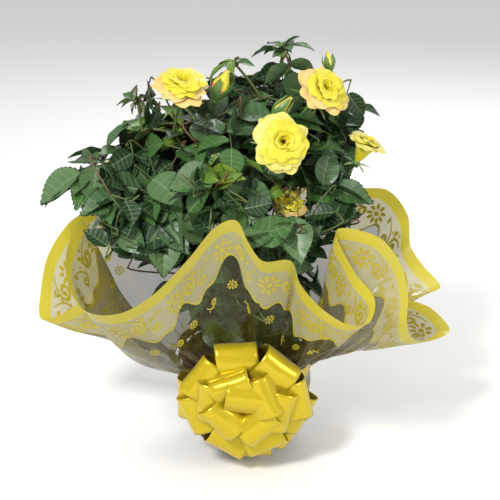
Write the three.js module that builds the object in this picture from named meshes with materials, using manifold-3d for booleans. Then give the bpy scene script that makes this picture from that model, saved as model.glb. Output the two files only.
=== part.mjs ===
// A potted patio rose in its gift wrapping: a wicker basket holds the nursery pot, printed film
// flares round the plant in deep folds, and a pull bow closes it in front.
// Millimetres, +Z up, origin at the centre of the basket's flat underside, bow towards -Y.
import * as THREE from "three";
import { mergeVertices } from "three/addons/utils/BufferGeometryUtils.js";
import Module from "manifold-3d";

const wasm = await Module();
wasm.setup();

// ---- Driving sizes -------------------------------------------------------------------------
const GAP = 0.35; // air left between pieces that meet
const SLIVER = 0.2; // detail finer than this is dropped from cut pieces
const ROUND = 20; // sides of the basket and of what is wrapped round it

const BASKET = { height: 92, footRadius: 42, bellyRadius: 50, bellyHeight: 31, topRadius: 61, wall: 5.8 };
const POT = { height: 86, footRadius: 34, topRadius: 53.4, wall: 1.6 };
const SOIL_TOP = 80;
// Below the tie the film hangs free of the tapering basket, down to its hem.
const SKIRT = { hemRadius: 60, hem: 34, top: 74, lift: 0.5, thickness: 0.7 };
const TIE = { bottom: 66, width: 9, thickness: 0.8 };

const NECK = { radius: 63.2, height: 78 }; // the ring where the film leaves the basket
// `cut` is the share of a rib that is left open at each seam between two panels.
const FILM = { thickness: 0.8, rows: 3, columnsPerRib: 2, cut: 0.06 };

const BOW = { knot: [0, -67, 70], ribbonWidth: 35, loopDepth: 24, waist: 0.3, blunt: 0.8, filmRoom: 3 };

const CANE = { footDiameter: 5.2, tipDiameter: 3.2, sides: 6, rings: 4 };
const STEM = { footDiameter: 2.8, tipDiameter: 2.2, sides: 5, rings: 2 };

const FLOWER_SIDES = 10;

const up = new THREE.Vector3(0, 0, 1);

// The free edge of the film, rib by rib, anticlockwise from above starting at the front:
// [azimuth in degrees, radius, height, how far the middle of the rib is lifted over the neck].
const FILM_RIBS = [
  [-82, 113, 205, 60], [-70, 112, 203, 60], [-63, 105, 178, 56], [-61, 134, 165, 46],
  [-58.5, 164, 160, 40], [-56, 179, 165, 40], [-52, 172, 179, 44], [-49, 138, 194, 50],
  [-45, 110, 221, 62], [-38, 140, 218, 52], [-32, 153, 196, 36], [-28, 158, 165, 20],
  [-24, 155, 130, 12], [-16, 158, 108, 10], [-8, 174, 101, 10], [-1, 188, 103, 12],
  [3, 172, 119, 18], [6, 153, 126, 22], [10, 186, 131, 24], [15, 174, 148, 34],
  [19, 166, 164, 42], [26, 173, 188, 52], [36, 171, 206, 58], [47, 156, 207, 62],
  [55, 157, 227, 66], [64, 158, 228, 66], [74, 138, 222, 66], [86, 143, 236, 70],
  [99, 132, 228, 66], [112, 152, 241, 70], [125, 158, 230, 68], [138, 170, 234, 68],
  [150, 165, 228, 62], [160, 150, 206, 52], [168, 165, 193, 36], [174, 180, 168, 20],
  [179, 185, 140, 14], [183, 184, 115, 10], [185, 132, 150, 20], [188, 143, 213, 36],
  [198, 160, 194, 14], [208, 168, 172, 4], [219, 168, 159, 2], [230, 161, 163, 20],
  [240, 152, 180, 44], [250, 135, 209, 58], [260, 121, 237, 64], [267, 117, 241, 66],
  [272, 112, 221, 62],
];

// Each panel of film, by the rib it starts at; it ends where the next one starts.
const FILM_PANELS = [
  ["wrap_front_right_fold", 0], ["wrap_right_front", 8], ["wrap_right_low", 13],
  ["wrap_right", 18], ["wrap_back_right", 23], ["wrap_back", 28], ["wrap_back_left", 33],
  ["wrap_left", 38], ["wrap_front_left", 44],
];

// Loops of the bow: [clock angle in degrees from +X towards +Z, tilt forward in degrees, reach].
const BOW_LOOPS = [
  [98, 24, 56], [48, 26, 58], [4, 22, 60], [-64, 24, 56], [-112, 24, 55], [196, 24, 57],
  [148, 26, 58], [-84, 2, 62], [183, 4, 58], [-20, 8, 60], [-40, 6, 60],
  [118, 56, 50], [30, 58, 50], [-52, 54, 50], [-146, 56, 50],
];

// Canes: the foot on the soil and the end inside the leaf mass that it carries.
const CANES = [
  { foot: [-20, -14], end: [-60, -44, 212] },
  { foot: [-26, 3], end: [-92, -10, 232] },
  { foot: [-8, -23], end: [-24, -44, 236] },
  { foot: [13, -21], end: [30, -46, 212] },
  { foot: [25, -5], end: [68, -10, 216] },
  { foot: [19, 15], end: [56, 50, 232] },
  { foot: [-3, 24], end: [-4, 68, 238] },
  { foot: [-21, 16], end: [-58, 50, 230] },
  { foot: [2, 1], end: [0, 4, 222] },
];

// Leaf masses: the middle, the half sizes along X, Y and Z, and the furthest leaf tips.
const MASSES = {
  foliage_heart: { middle: [-4, 0, 242], half: [42, 36, 32], tips: [] },
  foliage_front: { middle: [-28, -58, 252], half: [38, 30, 32], tips: [[-57, -84, 262], [-6, -86, 270]] },
  foliage_front_left: { middle: [-72, -64, 213], half: [32, 26, 30], tips: [[-66, -88, 186]] },
  foliage_low_left: { middle: [-108, -26, 222], half: [30, 32, 22], tips: [[-136, -56, 233]] },
  foliage_left: {
    middle: [-108, 4, 258],
    half: [36, 34, 26],
    tips: [[-177, -18, 230], [-155, 10, 267], [-112, 0, 288]],
  },
  foliage_upper_left: {
    middle: [-62, 4, 282],
    half: [34, 32, 22],
    tips: [[-82, 0, 299], [-34, 5, 306], [-99, -6, 294]],
  },
  foliage_upper: { middle: [-8, 10, 292], half: [30, 32, 20], tips: [[-3, 5, 316], [-20, -20, 300]] },
  foliage_upper_right: { middle: [44, 18, 294], half: [28, 34, 24], tips: [[46, 22, 321], [22, 16, 318]] },
  foliage_right: {
    middle: [84, 14, 276],
    half: [28, 34, 24],
    tips: [[117, 10, 271], [101, 18, 299], [89, 22, 305]],
  },
  foliage_low_right: { middle: [72, -14, 230], half: [28, 32, 24], tips: [[109, -32, 234]] },
  foliage_front_right: { middle: [32, -62, 222], half: [34, 28, 24], tips: [[47, -94, 201], [2, -92, 210]] },
  foliage_low_front: { middle: [-6, -58, 168], half: [44, 16, 26], tips: [] },
  foliage_back_left: { middle: [-68, 62, 250], half: [42, 38, 34], tips: [[-112, 82, 262]] },
  foliage_back: { middle: [-2, 84, 258], half: [40, 34, 36], tips: [[4, 122, 262]] },
  foliage_back_right: { middle: [62, 66, 250], half: [38, 36, 34], tips: [[108, 84, 256]] },
  foliage_back_top: { middle: [-6, 54, 302], half: [40, 28, 20], tips: [[24, 52, 322], [-44, 50, 316]] },
};

// Young shoots that stand clear of the masses, each on its own thin stem.
const SHOOTS = {
  shoot_left: {
    middle: [-91, -15, 316],
    half: [6, 6, 5],
    tips: [[-109, -25, 317], [-104, -9, 323], [-94, -15, 331], [-70, -20, 313]],
    stemFoot: [-88, -11, 290],
  },
  shoot_top: {
    middle: [34, 15, 355],
    half: [7, 7, 6],
    tips: [[6, 5, 354], [61, 12, 360], [21, 30, 362], [48, 20, 368], [37, 3, 335]],
    stemFoot: [28, 21, 312],
  },
  shoot_arch: {
    middle: [-8, 0, 347],
    half: [11, 6, 4],
    tips: [[-31, -8, 336], [10, 5, 345]],
    stemFoot: [16, 8, 314],
  },
};

// Blooms and buds: the foot of the stem where one shows, the flower's seat, its axis and its size.
const BLOOMS = {
  bloom_left: { stemFoot: [-61, -12, 288], seat: [-54, -21, 318], axis: [0.12, -0.5, 1], radius: 26, height: 27 },
  bloom_right_top: { stemFoot: [54, 0, 292], seat: [61, -6, 317], axis: [0.55, -0.85, 0.75], radius: 25, height: 27 },
  bloom_centre: { stemFoot: [24, -20, 262], seat: [29, -42, 284], axis: [0.2, -1, 0.45], radius: 27, height: 28 },
  bloom_right: { stemFoot: [80, -12, 232], seat: [99, -3, 260], axis: [0.45, -0.15, 1], radius: 19, height: 26 },
  bloom_low: { seat: [38, -26, 222], axis: [0.1, -0.9, 0.8], radius: 17, height: 20 },
};
const BUDS = {
  bud_left: { stemFoot: [-30, 0, 282], seat: [-25, -7, 317], axis: [0.45, -0.12, 1], radius: 9, height: 30 },
  bud_right: { stemFoot: [60, 12, 296], seat: [75, 8, 339], axis: [-0.15, 0, 1], radius: 5.5, height: 17 },
  bud_centre: { seat: [25, -31, 306], axis: [0.75, -0.15, 0.9], radius: 7, height: 25 },
};

// ---- Materials -----------------------------------------------------------------------------
function material(color, roughness, metalness = 0) {
  return new THREE.MeshStandardMaterial({ color, roughness, metalness });
}
const leafGreen = () => material("#3c5a3a", 0.6);
const youngGreen = () => material("#6f9440", 0.55);
const caneGreen = () => material("#5d6b33", 0.6);
const petalYellow = () => material("#f2dc3c", 0.55);
const filmYellow = () => material("#d9cf7a", 0.2);
const satinYellow = () => material("#e6c21c", 0.3);
const wickerBrown = () => material("#3d2a1c", 0.7);
const potBlack = () => material("#2a2a29", 0.6);
const soilBrown = () => material("#2f231a", 0.95);

// ---- Solids --------------------------------------------------------------------------------
function solidOf(geometry) {
  const bare = new THREE.BufferGeometry();
  bare.setAttribute("position", geometry.getAttribute("position"));
  bare.setIndex(geometry.index);
  const merged = mergeVertices(bare, 1e-4);
  return new wasm.Manifold(
    new wasm.Mesh({
      numProp: 3,
      vertProperties: new Float32Array(merged.attributes.position.array),
      triVerts: new Uint32Array(merged.index.array),
    }),
  );
}

function geometryOf(solid) {
  const mesh = solid.getMesh();
  const geometry = new THREE.BufferGeometry();
  geometry.setAttribute("position", new THREE.BufferAttribute(mesh.vertProperties, 3));
  geometry.setIndex(new THREE.BufferAttribute(mesh.triVerts, 1));
  geometry.computeVertexNormals();
  return geometry;
}

// The largest body of a cut solid, without the slivers that the cuts leave.
function largestBody(solid) {
  const bodies = solid.decompose();
  return bodies.reduce((best, body) => (body.volume() > best.volume() ? body : best)).simplify(SLIVER);
}

function piece(name, geometry, look) {
  const mesh = new THREE.Mesh(geometry, look);
  mesh.name = name;
  return mesh;
}

// A body of revolution about +Z from a list of [radius, height] that starts and ends on the axis
// or closes on itself.
function turned(profile, sides = ROUND) {
  const points = profile.map(([radius, height]) => new THREE.Vector2(radius, height));
  return new THREE.LatheGeometry(points, sides).rotateX(Math.PI / 2);
}

function vector([x, y, z]) {
  return new THREE.Vector3(x, y, z);
}

function polar(degrees, radius, height) {
  const angle = THREE.MathUtils.degToRad(degrees);
  return new THREE.Vector3(radius * Math.cos(angle), radius * Math.sin(angle), height);
}

// ---- Basket, pot and soil ------------------------------------------------------------------
function basketRadius(height) {
  const b = BASKET;
  if (height <= b.bellyHeight) {
    return THREE.MathUtils.mapLinear(height, 0, b.bellyHeight, b.footRadius, b.bellyRadius);
  }
  return THREE.MathUtils.mapLinear(height, b.bellyHeight, b.height, b.bellyRadius, b.topRadius);
}

function basket() {
  const { height, wall, footRadius, bellyRadius, bellyHeight, topRadius } = BASKET;
  const profile = [
    [0, 0],
    [footRadius, 0],
    [bellyRadius, bellyHeight],
    [topRadius, height],
    [topRadius - wall, height],
    [bellyRadius - wall, bellyHeight],
    [footRadius - wall, wall],
    [0, wall],
  ];
  return piece("basket", turned(profile), wickerBrown());
}

function nurseryPot() {
  const { height, wall, footRadius, topRadius } = POT;
  const floor = BASKET.wall + GAP;
  const profile = [
    [0, floor],
    [footRadius, floor],
    [topRadius, height],
    [topRadius - wall, height],
    [footRadius - wall, floor + wall],
    [0, floor + wall],
  ];
  return piece("nursery_pot", turned(profile), potBlack());
}

function pottingSoil() {
  const floor = BASKET.wall + POT.wall + 2 * GAP;
  const slope = (POT.topRadius - POT.footRadius) / (POT.height - BASKET.wall - GAP);
  const footRadius = POT.footRadius - POT.wall - GAP;
  const topRadius = footRadius + slope * (SOIL_TOP - floor);
  const profile = [
    [0, floor],
    [footRadius - GAP, floor],
    [topRadius - GAP, SOIL_TOP],
    [0, SOIL_TOP],
  ];
  return piece("potting_soil", turned(profile), soilBrown());
}

// ---- Film wrap -----------------------------------------------------------------------------
// A closed band round the basket through [radius, height] points, from its lower edge upwards.
function band(line, thickness) {
  const outer = line.map(([radius, height]) => [radius + thickness, height]);
  const profile = [...outer, ...[...line].reverse()];
  return turned([...profile, profile[0]]);
}

// Where a band lies on the basket, `lift` clear of it, from one height to another.
function onBasket(from, to, lift) {
  return [from, to].map((height) => [basketRadius(height) + lift, height]);
}

function wrapSkirt() {
  const line = [[SKIRT.hemRadius, SKIRT.hem], ...onBasket(TIE.bottom, SKIRT.top, SKIRT.lift)];
  return piece("wrap_skirt", band(line, SKIRT.thickness), filmYellow());
}

function tieRibbon() {
  const lift = SKIRT.lift + SKIRT.thickness + GAP;
  return piece("tie_ribbon", band(onBasket(TIE.bottom, TIE.bottom + TIE.width, lift), TIE.thickness), satinYellow());
}

const filmEdge = new THREE.CatmullRomCurve3(
  FILM_RIBS.map(([azimuth, radius, height]) => polar(azimuth, radius, height)),
  true,
  "centripetal",
);

// How far round the neck each rib starts: halfway between the rib's own azimuth and an even
// gathering of the edge's length, so that deep folds take up more of the neck.
function neckAzimuths() {
  const points = FILM_RIBS.map(([azimuth, radius, height]) => polar(azimuth, radius, height));
  const along = [0];
  for (let i = 1; i <= points.length; i += 1) {
    along.push(along[i - 1] + points[i % points.length].distanceTo(points[i - 1]));
  }
  const first = FILM_RIBS[0][0];
  const total = along[points.length];
  const azimuths = FILM_RIBS.map(([azimuth], i) => (azimuth + first + (360 * along[i]) / total) / 2);
  return [...azimuths, first + 360];
}
const neckAzimuth = neckAzimuths();

// A point of the film: `rib` counts ribs round the plant, `out` runs from the neck to the edge.
function filmPoint(rib, out) {
  const count = FILM_RIBS.length;
  const whole = Math.min(Math.floor(rib), count - 1);
  const part = rib - whole;
  const azimuth = THREE.MathUtils.lerp(neckAzimuth[whole], neckAzimuth[whole + 1], part);
  const lift = THREE.MathUtils.lerp(FILM_RIBS[whole][3], FILM_RIBS[(whole + 1) % count][3], part);
  const neck = polar(azimuth, NECK.radius, NECK.height);
  const edge = filmEdge.getPoint((rib / count) % 1);
  const middle = neck.clone().lerp(edge, 0.5).setZ(NECK.height + lift);
  return new THREE.QuadraticBezierCurve3(neck, middle, edge).getPoint(out);
}

// A closed thin solid on a grid of points, `thickness` deep about the grid.
function thinPanel(grid, thickness) {
  const rows = grid.length;
  const columns = grid[0].length;
  const at = (r, c) => grid[Math.min(Math.max(r, 0), rows - 1)][Math.min(Math.max(c, 0), columns - 1)];
  const positions = [];
  for (const side of [0.5, -0.5]) {
    for (let r = 0; r < rows; r += 1) {
      for (let c = 0; c < columns; c += 1) {
        const across = at(r, c + 1).clone().sub(at(r, c - 1));
        const outward = at(r + 1, c).clone().sub(at(r - 1, c));
        const normal = across.cross(outward).normalize();
        positions.push(...grid[r][c].clone().addScaledVector(normal, side * thickness));
      }
    }
  }
  const index = (side, r, c) => side * rows * columns + r * columns + c;
  const faces = [];
  const quad = (a, b, c, d) => faces.push(a, b, c, a, c, d);
  for (let r = 0; r + 1 < rows; r += 1) {
    for (let c = 0; c + 1 < columns; c += 1) {
      quad(index(0, r, c), index(0, r, c + 1), index(0, r + 1, c + 1), index(0, r + 1, c));
      quad(index(1, r, c), index(1, r + 1, c), index(1, r + 1, c + 1), index(1, r, c + 1));
    }
    quad(index(0, r, 0), index(0, r + 1, 0), index(1, r + 1, 0), index(1, r, 0));
    const last = columns - 1;
    quad(index(0, r, last), index(1, r, last), index(1, r + 1, last), index(0, r + 1, last));
  }
  for (let c = 0; c + 1 < columns; c += 1) {
    quad(index(0, 0, c), index(1, 0, c), index(1, 0, c + 1), index(0, 0, c + 1));
    const last = rows - 1;
    quad(index(0, last, c), index(0, last, c + 1), index(1, last, c + 1), index(1, last, c));
  }
  const geometry = new THREE.BufferGeometry();
  geometry.setAttribute("position", new THREE.Float32BufferAttribute(positions, 3));
  geometry.setIndex(faces);
  geometry.computeVertexNormals();
  return geometry;
}

function filmPanel(fromRib, toRib, thickness, cut) {
  const columns = Math.round((toRib - fromRib) * FILM.columnsPerRib);
  const grid = [];
  for (let r = 0; r <= FILM.rows; r += 1) {
    const row = [];
    for (let c = 0; c <= columns; c += 1) {
      const rib = THREE.MathUtils.lerp(fromRib + cut, toRib - cut, c / columns);
      row.push(filmPoint(rib, r / FILM.rows));
    }
    grid.push(row);
  }
  return thinPanel(grid, thickness);
}

function filmPanels(thickness, cut) {
  return FILM_PANELS.map(([name, from], i) => {
    const to = i + 1 < FILM_PANELS.length ? FILM_PANELS[i + 1][1] : FILM_RIBS.length;
    return [name, filmPanel(from, to, thickness, cut)];
  });
}

// The film as cutting tools, `room` thicker than it is and with no seams.
function filmCutters(room) {
  return filmPanels(FILM.thickness + room, 0).map(([, geometry]) => solidOf(geometry));
}

// ---- Bow -----------------------------------------------------------------------------------
// One loop of ribbon as a solid drop, root at the origin, reaching along +X, ribbon width on Y.
function bowLoop(reach) {
  const half = BOW.loopDepth / 2;
  const upper = [[-4, half * BOW.waist], [reach * 0.5, half], [reach * 0.88, half * 0.8]];
  const lower = upper.map(([x, y]) => [x, -y]).reverse();
  const drop = new THREE.Shape([...upper, [reach, 0], ...lower].map(([x, y]) => new THREE.Vector2(x, y)));
  const loop = new THREE.ExtrudeGeometry(drop, { depth: BOW.ribbonWidth, bevelEnabled: false });
  return loop.translate(0, 0, -BOW.ribbonWidth / 2).rotateX(-Math.PI / 2);
}

function ribbonBow() {
  const forward = new THREE.Vector3(0, -1, 0);
  const solids = BOW_LOOPS.map(([clock, tilt, reach]) => {
    const angle = THREE.MathUtils.degToRad(clock);
    const lean = THREE.MathUtils.degToRad(tilt);
    const radial = new THREE.Vector3(Math.cos(angle), 0, Math.sin(angle));
    const along = radial.multiplyScalar(Math.cos(lean)).addScaledVector(forward, Math.sin(lean));
    const width = new THREE.Vector3(-Math.sin(angle), 0, Math.cos(angle));
    const depth = along.clone().cross(width);
    const placed = new THREE.Matrix4().makeBasis(along, width, depth);
    return solidOf(bowLoop(reach).applyMatrix4(placed));
  });
  const cutBack = new THREE.BoxGeometry(300, 40, 300).translate(0, 20 - 0.5, 0);
  const joined = wasm.Manifold.union(solids).simplify(BOW.blunt).subtract(solidOf(cutBack)).translate(BOW.knot);
  const clear = filmCutters(BOW.filmRoom).reduce((left, film) => left.subtract(film), joined);
  return piece("ribbon_bow", geometryOf(largestBody(clear)), satinYellow());
}

// ---- Plant ---------------------------------------------------------------------------------
// A tapering round limb along a curve, closed at both ends.
function limb(curve, { footDiameter, tipDiameter, sides, rings }, grow = 0) {
  const frames = curve.computeFrenetFrames(rings, false);
  const positions = [];
  for (let r = 0; r <= rings; r += 1) {
    const centre = curve.getPointAt(r / rings);
    const radius = THREE.MathUtils.lerp(footDiameter, tipDiameter, r / rings) / 2 + grow;
    for (let s = 0; s < sides; s += 1) {
      const angle = (2 * Math.PI * s) / sides;
      const spot = centre
        .clone()
        .addScaledVector(frames.normals[r], radius * Math.cos(angle))
        .addScaledVector(frames.binormals[r], radius * Math.sin(angle));
      positions.push(...spot);
    }
  }
  const startCentre = (rings + 1) * sides;
  positions.push(...curve.getPointAt(0).addScaledVector(frames.tangents[0], -grow));
  positions.push(...curve.getPointAt(1).addScaledVector(frames.tangents[rings], grow));
  const faces = [];
  for (let s = 0; s < sides; s += 1) {
    const next = (s + 1) % sides;
    for (let r = 0; r < rings; r += 1) {
      const a = r * sides;
      const b = (r + 1) * sides;
      faces.push(a + s, a + next, b + next, a + s, b + next, b + s);
    }
    faces.push(startCentre, next, s);
    faces.push(startCentre + 1, rings * sides + s, rings * sides + next);
  }
  const geometry = new THREE.BufferGeometry();
  geometry.setAttribute("position", new THREE.Float32BufferAttribute(positions, 3));
  geometry.setIndex(faces);
  geometry.computeVertexNormals();
  return geometry;
}

// A cane leaves the soil upright and leans out to its mass.
function caneCurve({ foot, end }) {
  const start = new THREE.Vector3(foot[0], foot[1], SOIL_TOP + GAP);
  const rise = start.clone().setZ(THREE.MathUtils.lerp(start.z, end[2], 0.55));
  return new THREE.QuadraticBezierCurve3(start, rise, vector(end));
}

// A thin stem bows a little on its way to the flower or shoot that it carries.
function stemCurve(from, to) {
  const start = vector(from);
  const end = vector(to);
  const middle = start.clone().lerp(end, 0.5);
  middle.x += 0.1 * (start.x - end.x);
  return new THREE.QuadraticBezierCurve3(start, middle, end);
}

// A closed uneven mass of leaves: a rippled ball that is drawn out to the named leaf tips.
function leafMass({ middle, half, tips }, detail, grow = 0) {
  const ball = mergeVertices(new THREE.IcosahedronGeometry(1, detail).deleteAttribute("uv").deleteAttribute("normal"));
  const spots = ball.getAttribute("position");
  const centre = vector(middle);
  const reaches = tips.map((tip) => vector(tip).sub(centre));
  const directions = [];
  for (let i = 0; i < spots.count; i += 1) {
    directions.push(new THREE.Vector3().fromBufferAttribute(spots, i).normalize());
  }
  const nearest = reaches.map((reach) => {
    const toward = reach.clone().normalize();
    return directions.reduce((best, d, i) => (d.dot(toward) > directions[best].dot(toward) ? i : best), 0);
  });
  const phase = middle[0] * 0.05 + middle[1] * 0.07 + middle[2] * 0.03;
  directions.forEach((d, i) => {
    const ripple = Math.sin(5 * d.x + phase) * Math.cos(4 * d.y - phase) + 0.7 * Math.sin(7 * d.z + 2 * phase);
    let radius = 1 / Math.hypot(d.x / half[0], d.y / half[1], d.z / half[2]);
    radius *= 1 + 0.12 * ripple;
    for (const reach of reaches) {
      const closeness = Math.exp(-((d.angleTo(reach) / 0.3) ** 2));
      radius = Math.max(radius, THREE.MathUtils.lerp(radius, 0.85 * reach.length(), closeness));
    }
    const spot = centre.clone().addScaledVector(d, radius + grow);
    spots.setXYZ(i, ...spot);
  });
  nearest.forEach((i, k) => {
    const reach = reaches[k];
    const spot = centre.clone().addScaledVector(reach, 1 + grow / reach.length());
    spots.setXYZ(i, ...spot);
  });
  return ball;
}

// A rose in bloom: a cup of petals on its seat, domed over the top; the axis is +Z.
function bloomShape({ radius, height }, grow = 0) {
  const r = radius + grow;
  return turned(
    [
      [0, -grow],
      [r * 0.22, height * 0.06 - grow],
      [r * 0.8, height * 0.36],
      [r, height * 0.68],
      [r * 0.86, height * 0.9 + grow],
      [r * 0.4, height + grow],
      [0, height + grow],
    ],
    FLOWER_SIDES,
  );
}

// A closed bud: a pointed oval on its seat.
function budShape({ radius, height }, grow = 0) {
  const r = radius + grow;
  return turned(
    [
      [0, -grow],
      [r * 0.7, height * 0.1 - grow],
      [r, height * 0.38],
      [r * 0.7, height * 0.72],
      [0, height + grow],
    ],
    FLOWER_SIDES,
  );
}

// The turn and place of a flower: its axis along `axis`, its seat just past the stem's end.
function flowerMatrix({ seat, axis }) {
  const along = vector(axis).normalize();
  const turn = new THREE.Quaternion().setFromUnitVectors(up, along);
  const place = vector(seat).addScaledVector(along, GAP + 0.4);
  return new THREE.Matrix4().compose(place, turn, new THREE.Vector3(1, 1, 1));
}

// ---- Assembly ------------------------------------------------------------------------------
const rose = new THREE.Group();
const container = new THREE.Group();
const wrapping = new THREE.Group();
const plant = new THREE.Group();
rose.add(container, wrapping, plant);

// What the leaf masses are cut round, each a gap larger than the piece itself.
const keepClear = filmCutters(2 * GAP);

container.add(basket(), nurseryPot(), pottingSoil());
wrapping.add(wrapSkirt(), tieRibbon(), ribbonBow());
for (const [name, geometry] of filmPanels(FILM.thickness, FILM.cut)) {
  wrapping.add(piece(name, geometry, filmYellow()));
}

CANES.forEach((cane, i) => {
  const curve = caneCurve(cane);
  plant.add(piece("cane_" + (i + 1), limb(curve, CANE), caneGreen()));
  keepClear.push(solidOf(limb(curve, CANE, GAP)));
});

function addStem(name, from, to) {
  const curve = stemCurve(from, to);
  plant.add(piece(name, limb(curve, STEM), caneGreen()));
  keepClear.push(solidOf(limb(curve, STEM, GAP)));
}

function addFlowers(flowers, shape) {
  for (const [name, flower] of Object.entries(flowers)) {
    if (flower.stemFoot) addStem("stem_of_" + name, flower.stemFoot, flower.seat);
    const placed = flowerMatrix(flower);
    const mesh = piece(name, shape(flower), petalYellow());
    mesh.applyMatrix4(placed);
    plant.add(mesh);
    keepClear.push(solidOf(shape(flower, GAP).applyMatrix4(placed)));
  }
}
addFlowers(BLOOMS, bloomShape);
addFlowers(BUDS, budShape);

function addMass(name, mass, detail, look) {
  const whole = solidOf(leafMass(mass, detail));
  const cut = keepClear.reduce((left, other) => left.subtract(other), whole);
  plant.add(piece(name, geometryOf(largestBody(cut)), look));
  keepClear.push(solidOf(leafMass(mass, detail, GAP)));
}
for (const [name, shoot] of Object.entries(SHOOTS)) {
  addStem("stem_of_" + name, shoot.stemFoot, shoot.middle);
  addMass(name, shoot, 1, youngGreen());
}
for (const [name, mass] of Object.entries(MASSES)) {
  addMass(name, mass, 2, leafGreen());
}

export default rose;
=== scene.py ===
"""A potted patio rose in its gift wrapping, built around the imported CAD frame.

Shapes are worked out in millimetres and turned to metres as each piece is made.
"""
import math
import random

import bpy
import numpy as np
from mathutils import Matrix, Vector
from mathutils.bvhtree import BVHTree


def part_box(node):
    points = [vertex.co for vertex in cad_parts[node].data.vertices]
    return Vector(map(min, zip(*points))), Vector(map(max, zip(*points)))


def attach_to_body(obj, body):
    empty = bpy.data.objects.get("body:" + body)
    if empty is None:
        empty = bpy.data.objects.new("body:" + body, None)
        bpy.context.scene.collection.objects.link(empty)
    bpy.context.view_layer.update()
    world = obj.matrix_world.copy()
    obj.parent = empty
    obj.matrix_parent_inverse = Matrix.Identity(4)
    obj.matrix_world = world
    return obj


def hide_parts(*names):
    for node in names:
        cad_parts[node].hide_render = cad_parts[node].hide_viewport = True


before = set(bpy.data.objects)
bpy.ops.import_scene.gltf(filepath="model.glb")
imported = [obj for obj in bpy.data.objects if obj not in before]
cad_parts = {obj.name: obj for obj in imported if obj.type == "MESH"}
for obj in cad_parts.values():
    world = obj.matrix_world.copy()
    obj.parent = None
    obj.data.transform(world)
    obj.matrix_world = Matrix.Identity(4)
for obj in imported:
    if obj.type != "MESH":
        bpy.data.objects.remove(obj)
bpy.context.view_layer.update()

MM = 0.001
TAU = 2 * math.pi
UP = np.array([0.0, 0.0, 1.0])
GOLDEN = math.pi * (3 - math.sqrt(5))
rng = random.Random(7)

# ---- Driving sizes, in millimetres ----------------------------------------------------------
NECK = {"radius": 63.2, "height": 78.0}  # the ring where the film leaves the basket

# The film's free edge, rib by rib, as in the CAD model:
# (azimuth in degrees, radius, height, lift of the rib's middle over the neck).
FILM_RIBS = [
    (-82, 113, 205, 60), (-70, 112, 203, 60), (-63, 105, 178, 56), (-61, 134, 165, 46),
    (-58.5, 164, 160, 40), (-56, 179, 165, 40), (-52, 172, 179, 44), (-49, 138, 194, 50),
    (-45, 110, 221, 62), (-38, 140, 218, 52), (-32, 153, 196, 36), (-28, 158, 165, 20),
    (-24, 155, 130, 12), (-16, 158, 108, 10), (-8, 174, 101, 10), (-1, 188, 103, 12),
    (3, 172, 119, 18), (6, 153, 126, 22), (10, 186, 131, 24), (15, 174, 148, 34),
    (19, 166, 164, 42), (26, 173, 188, 52), (36, 171, 206, 58), (47, 156, 207, 62),
    (55, 157, 227, 66), (64, 158, 228, 66), (74, 138, 222, 66), (86, 143, 236, 70),
    (99, 132, 228, 66), (112, 152, 241, 70), (125, 158, 230, 68), (138, 170, 234, 68),
    (150, 165, 228, 62), (160, 150, 206, 52), (168, 165, 193, 36), (174, 180, 168, 20),
    (179, 185, 140, 14), (183, 184, 115, 10), (185, 132, 150, 20), (188, 143, 213, 36),
    (198, 160, 194, 14), (208, 168, 172, 4), (219, 168, 159, 2), (230, 161, 163, 20),
    (240, 152, 180, 44), (250, 135, 209, 58), (260, 121, 237, 64), (267, 117, 241, 66),
    (272, 112, 221, 62),
]
FILM_COLUMNS = 12  # columns of vertices per rib
SHEET_ROWS = 90  # points from the neck to the free edge that the sheet is worked out from
BORDER = 11.5  # solid printed band along the free edge
FROST = 31.0  # frosted band inside the border
FROST_SWING = 7.0
FROST_LIMIT = 0.72  # the frosted band ends by this share of the way to the neck
MOTIF_STEP = 66.0  # one repeat of the print along the edge
CLEARER_FILM = (-128, -42)  # between these azimuths the clear film is lighter and more see-through; elsewhere it is darker and less see-through
PLEATS = (46, 31)  # two counts of pleats round the neck, laid over each other
ROOM_STEP = 2  # height step of the table that says how much room the film leaves
ROOM_LEVELS = 90
FILM_GAP = 1.5  # what leaves keep clear of the film

BOW = {"knot": (0, -67, 70), "width": 36.0, "depth": 25.0, "thickness": 0.3}
BOW_GRID = {"rows": 64, "lanes": 13}
KNOT_TWISTS = {"count": 6, "width": 11.0, "rows": 14}  # short ends of ribbon over the knot
# Loops of the bow, as in the CAD model: (clock angle from +X towards +Z, tilt forward, reach).
BOW_LOOPS = [
    (98, 24, 56), (48, 26, 58), (4, 22, 60), (-64, 24, 56), (-112, 24, 55), (196, 24, 57),
    (148, 26, 58), (-84, 2, 62), (183, 4, 58), (-20, 8, 60), (-40, 6, 60),
    (118, 56, 50), (30, 58, 50), (-52, 54, 50), (-146, 56, 50),
]
# Loops that fill the heart of the bow.
BOW_FILLERS = [(78, 72, 48), (172, 44, 52), (-10, 42, 53)]
TIE_HEIGHT = 70.5

CAMERA = {"target": (5.4, 0, 178), "elevation": 18.0, "distance": 1200.0, "lens": 96.0, "sensor": 36}


# ---- Numbers and curves ---------------------------------------------------------------------
def unit(v):
    v = np.asarray(v, float)
    return v / max(np.linalg.norm(v), 1e-9)


def polar(degrees, radius, height):
    angle = math.radians(degrees)
    return np.array([radius * math.cos(angle), radius * math.sin(angle), height])


def mix(a, b, share):
    return a + (b - a) * share


def smooth(x):
    x = np.clip(x, 0, 1)
    return x * x * (3 - 2 * x)


def jitter(amount):
    return rng.uniform(-amount, amount)


def random_unit():
    z = jitter(1)
    angle = jitter(math.pi)
    flat = math.sqrt(1 - z * z)
    return np.array([flat * math.cos(angle), flat * math.sin(angle), z])


def across(v, axis):
    """The part of v that is square to axis, at unit length."""
    axis = unit(axis)
    v = np.asarray(v, float)
    left = v - axis * v.dot(axis)
    if np.linalg.norm(left) < 1e-6:
        left = np.cross(axis, (0.31, 0.72, 0.62))
    return unit(left)


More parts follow.
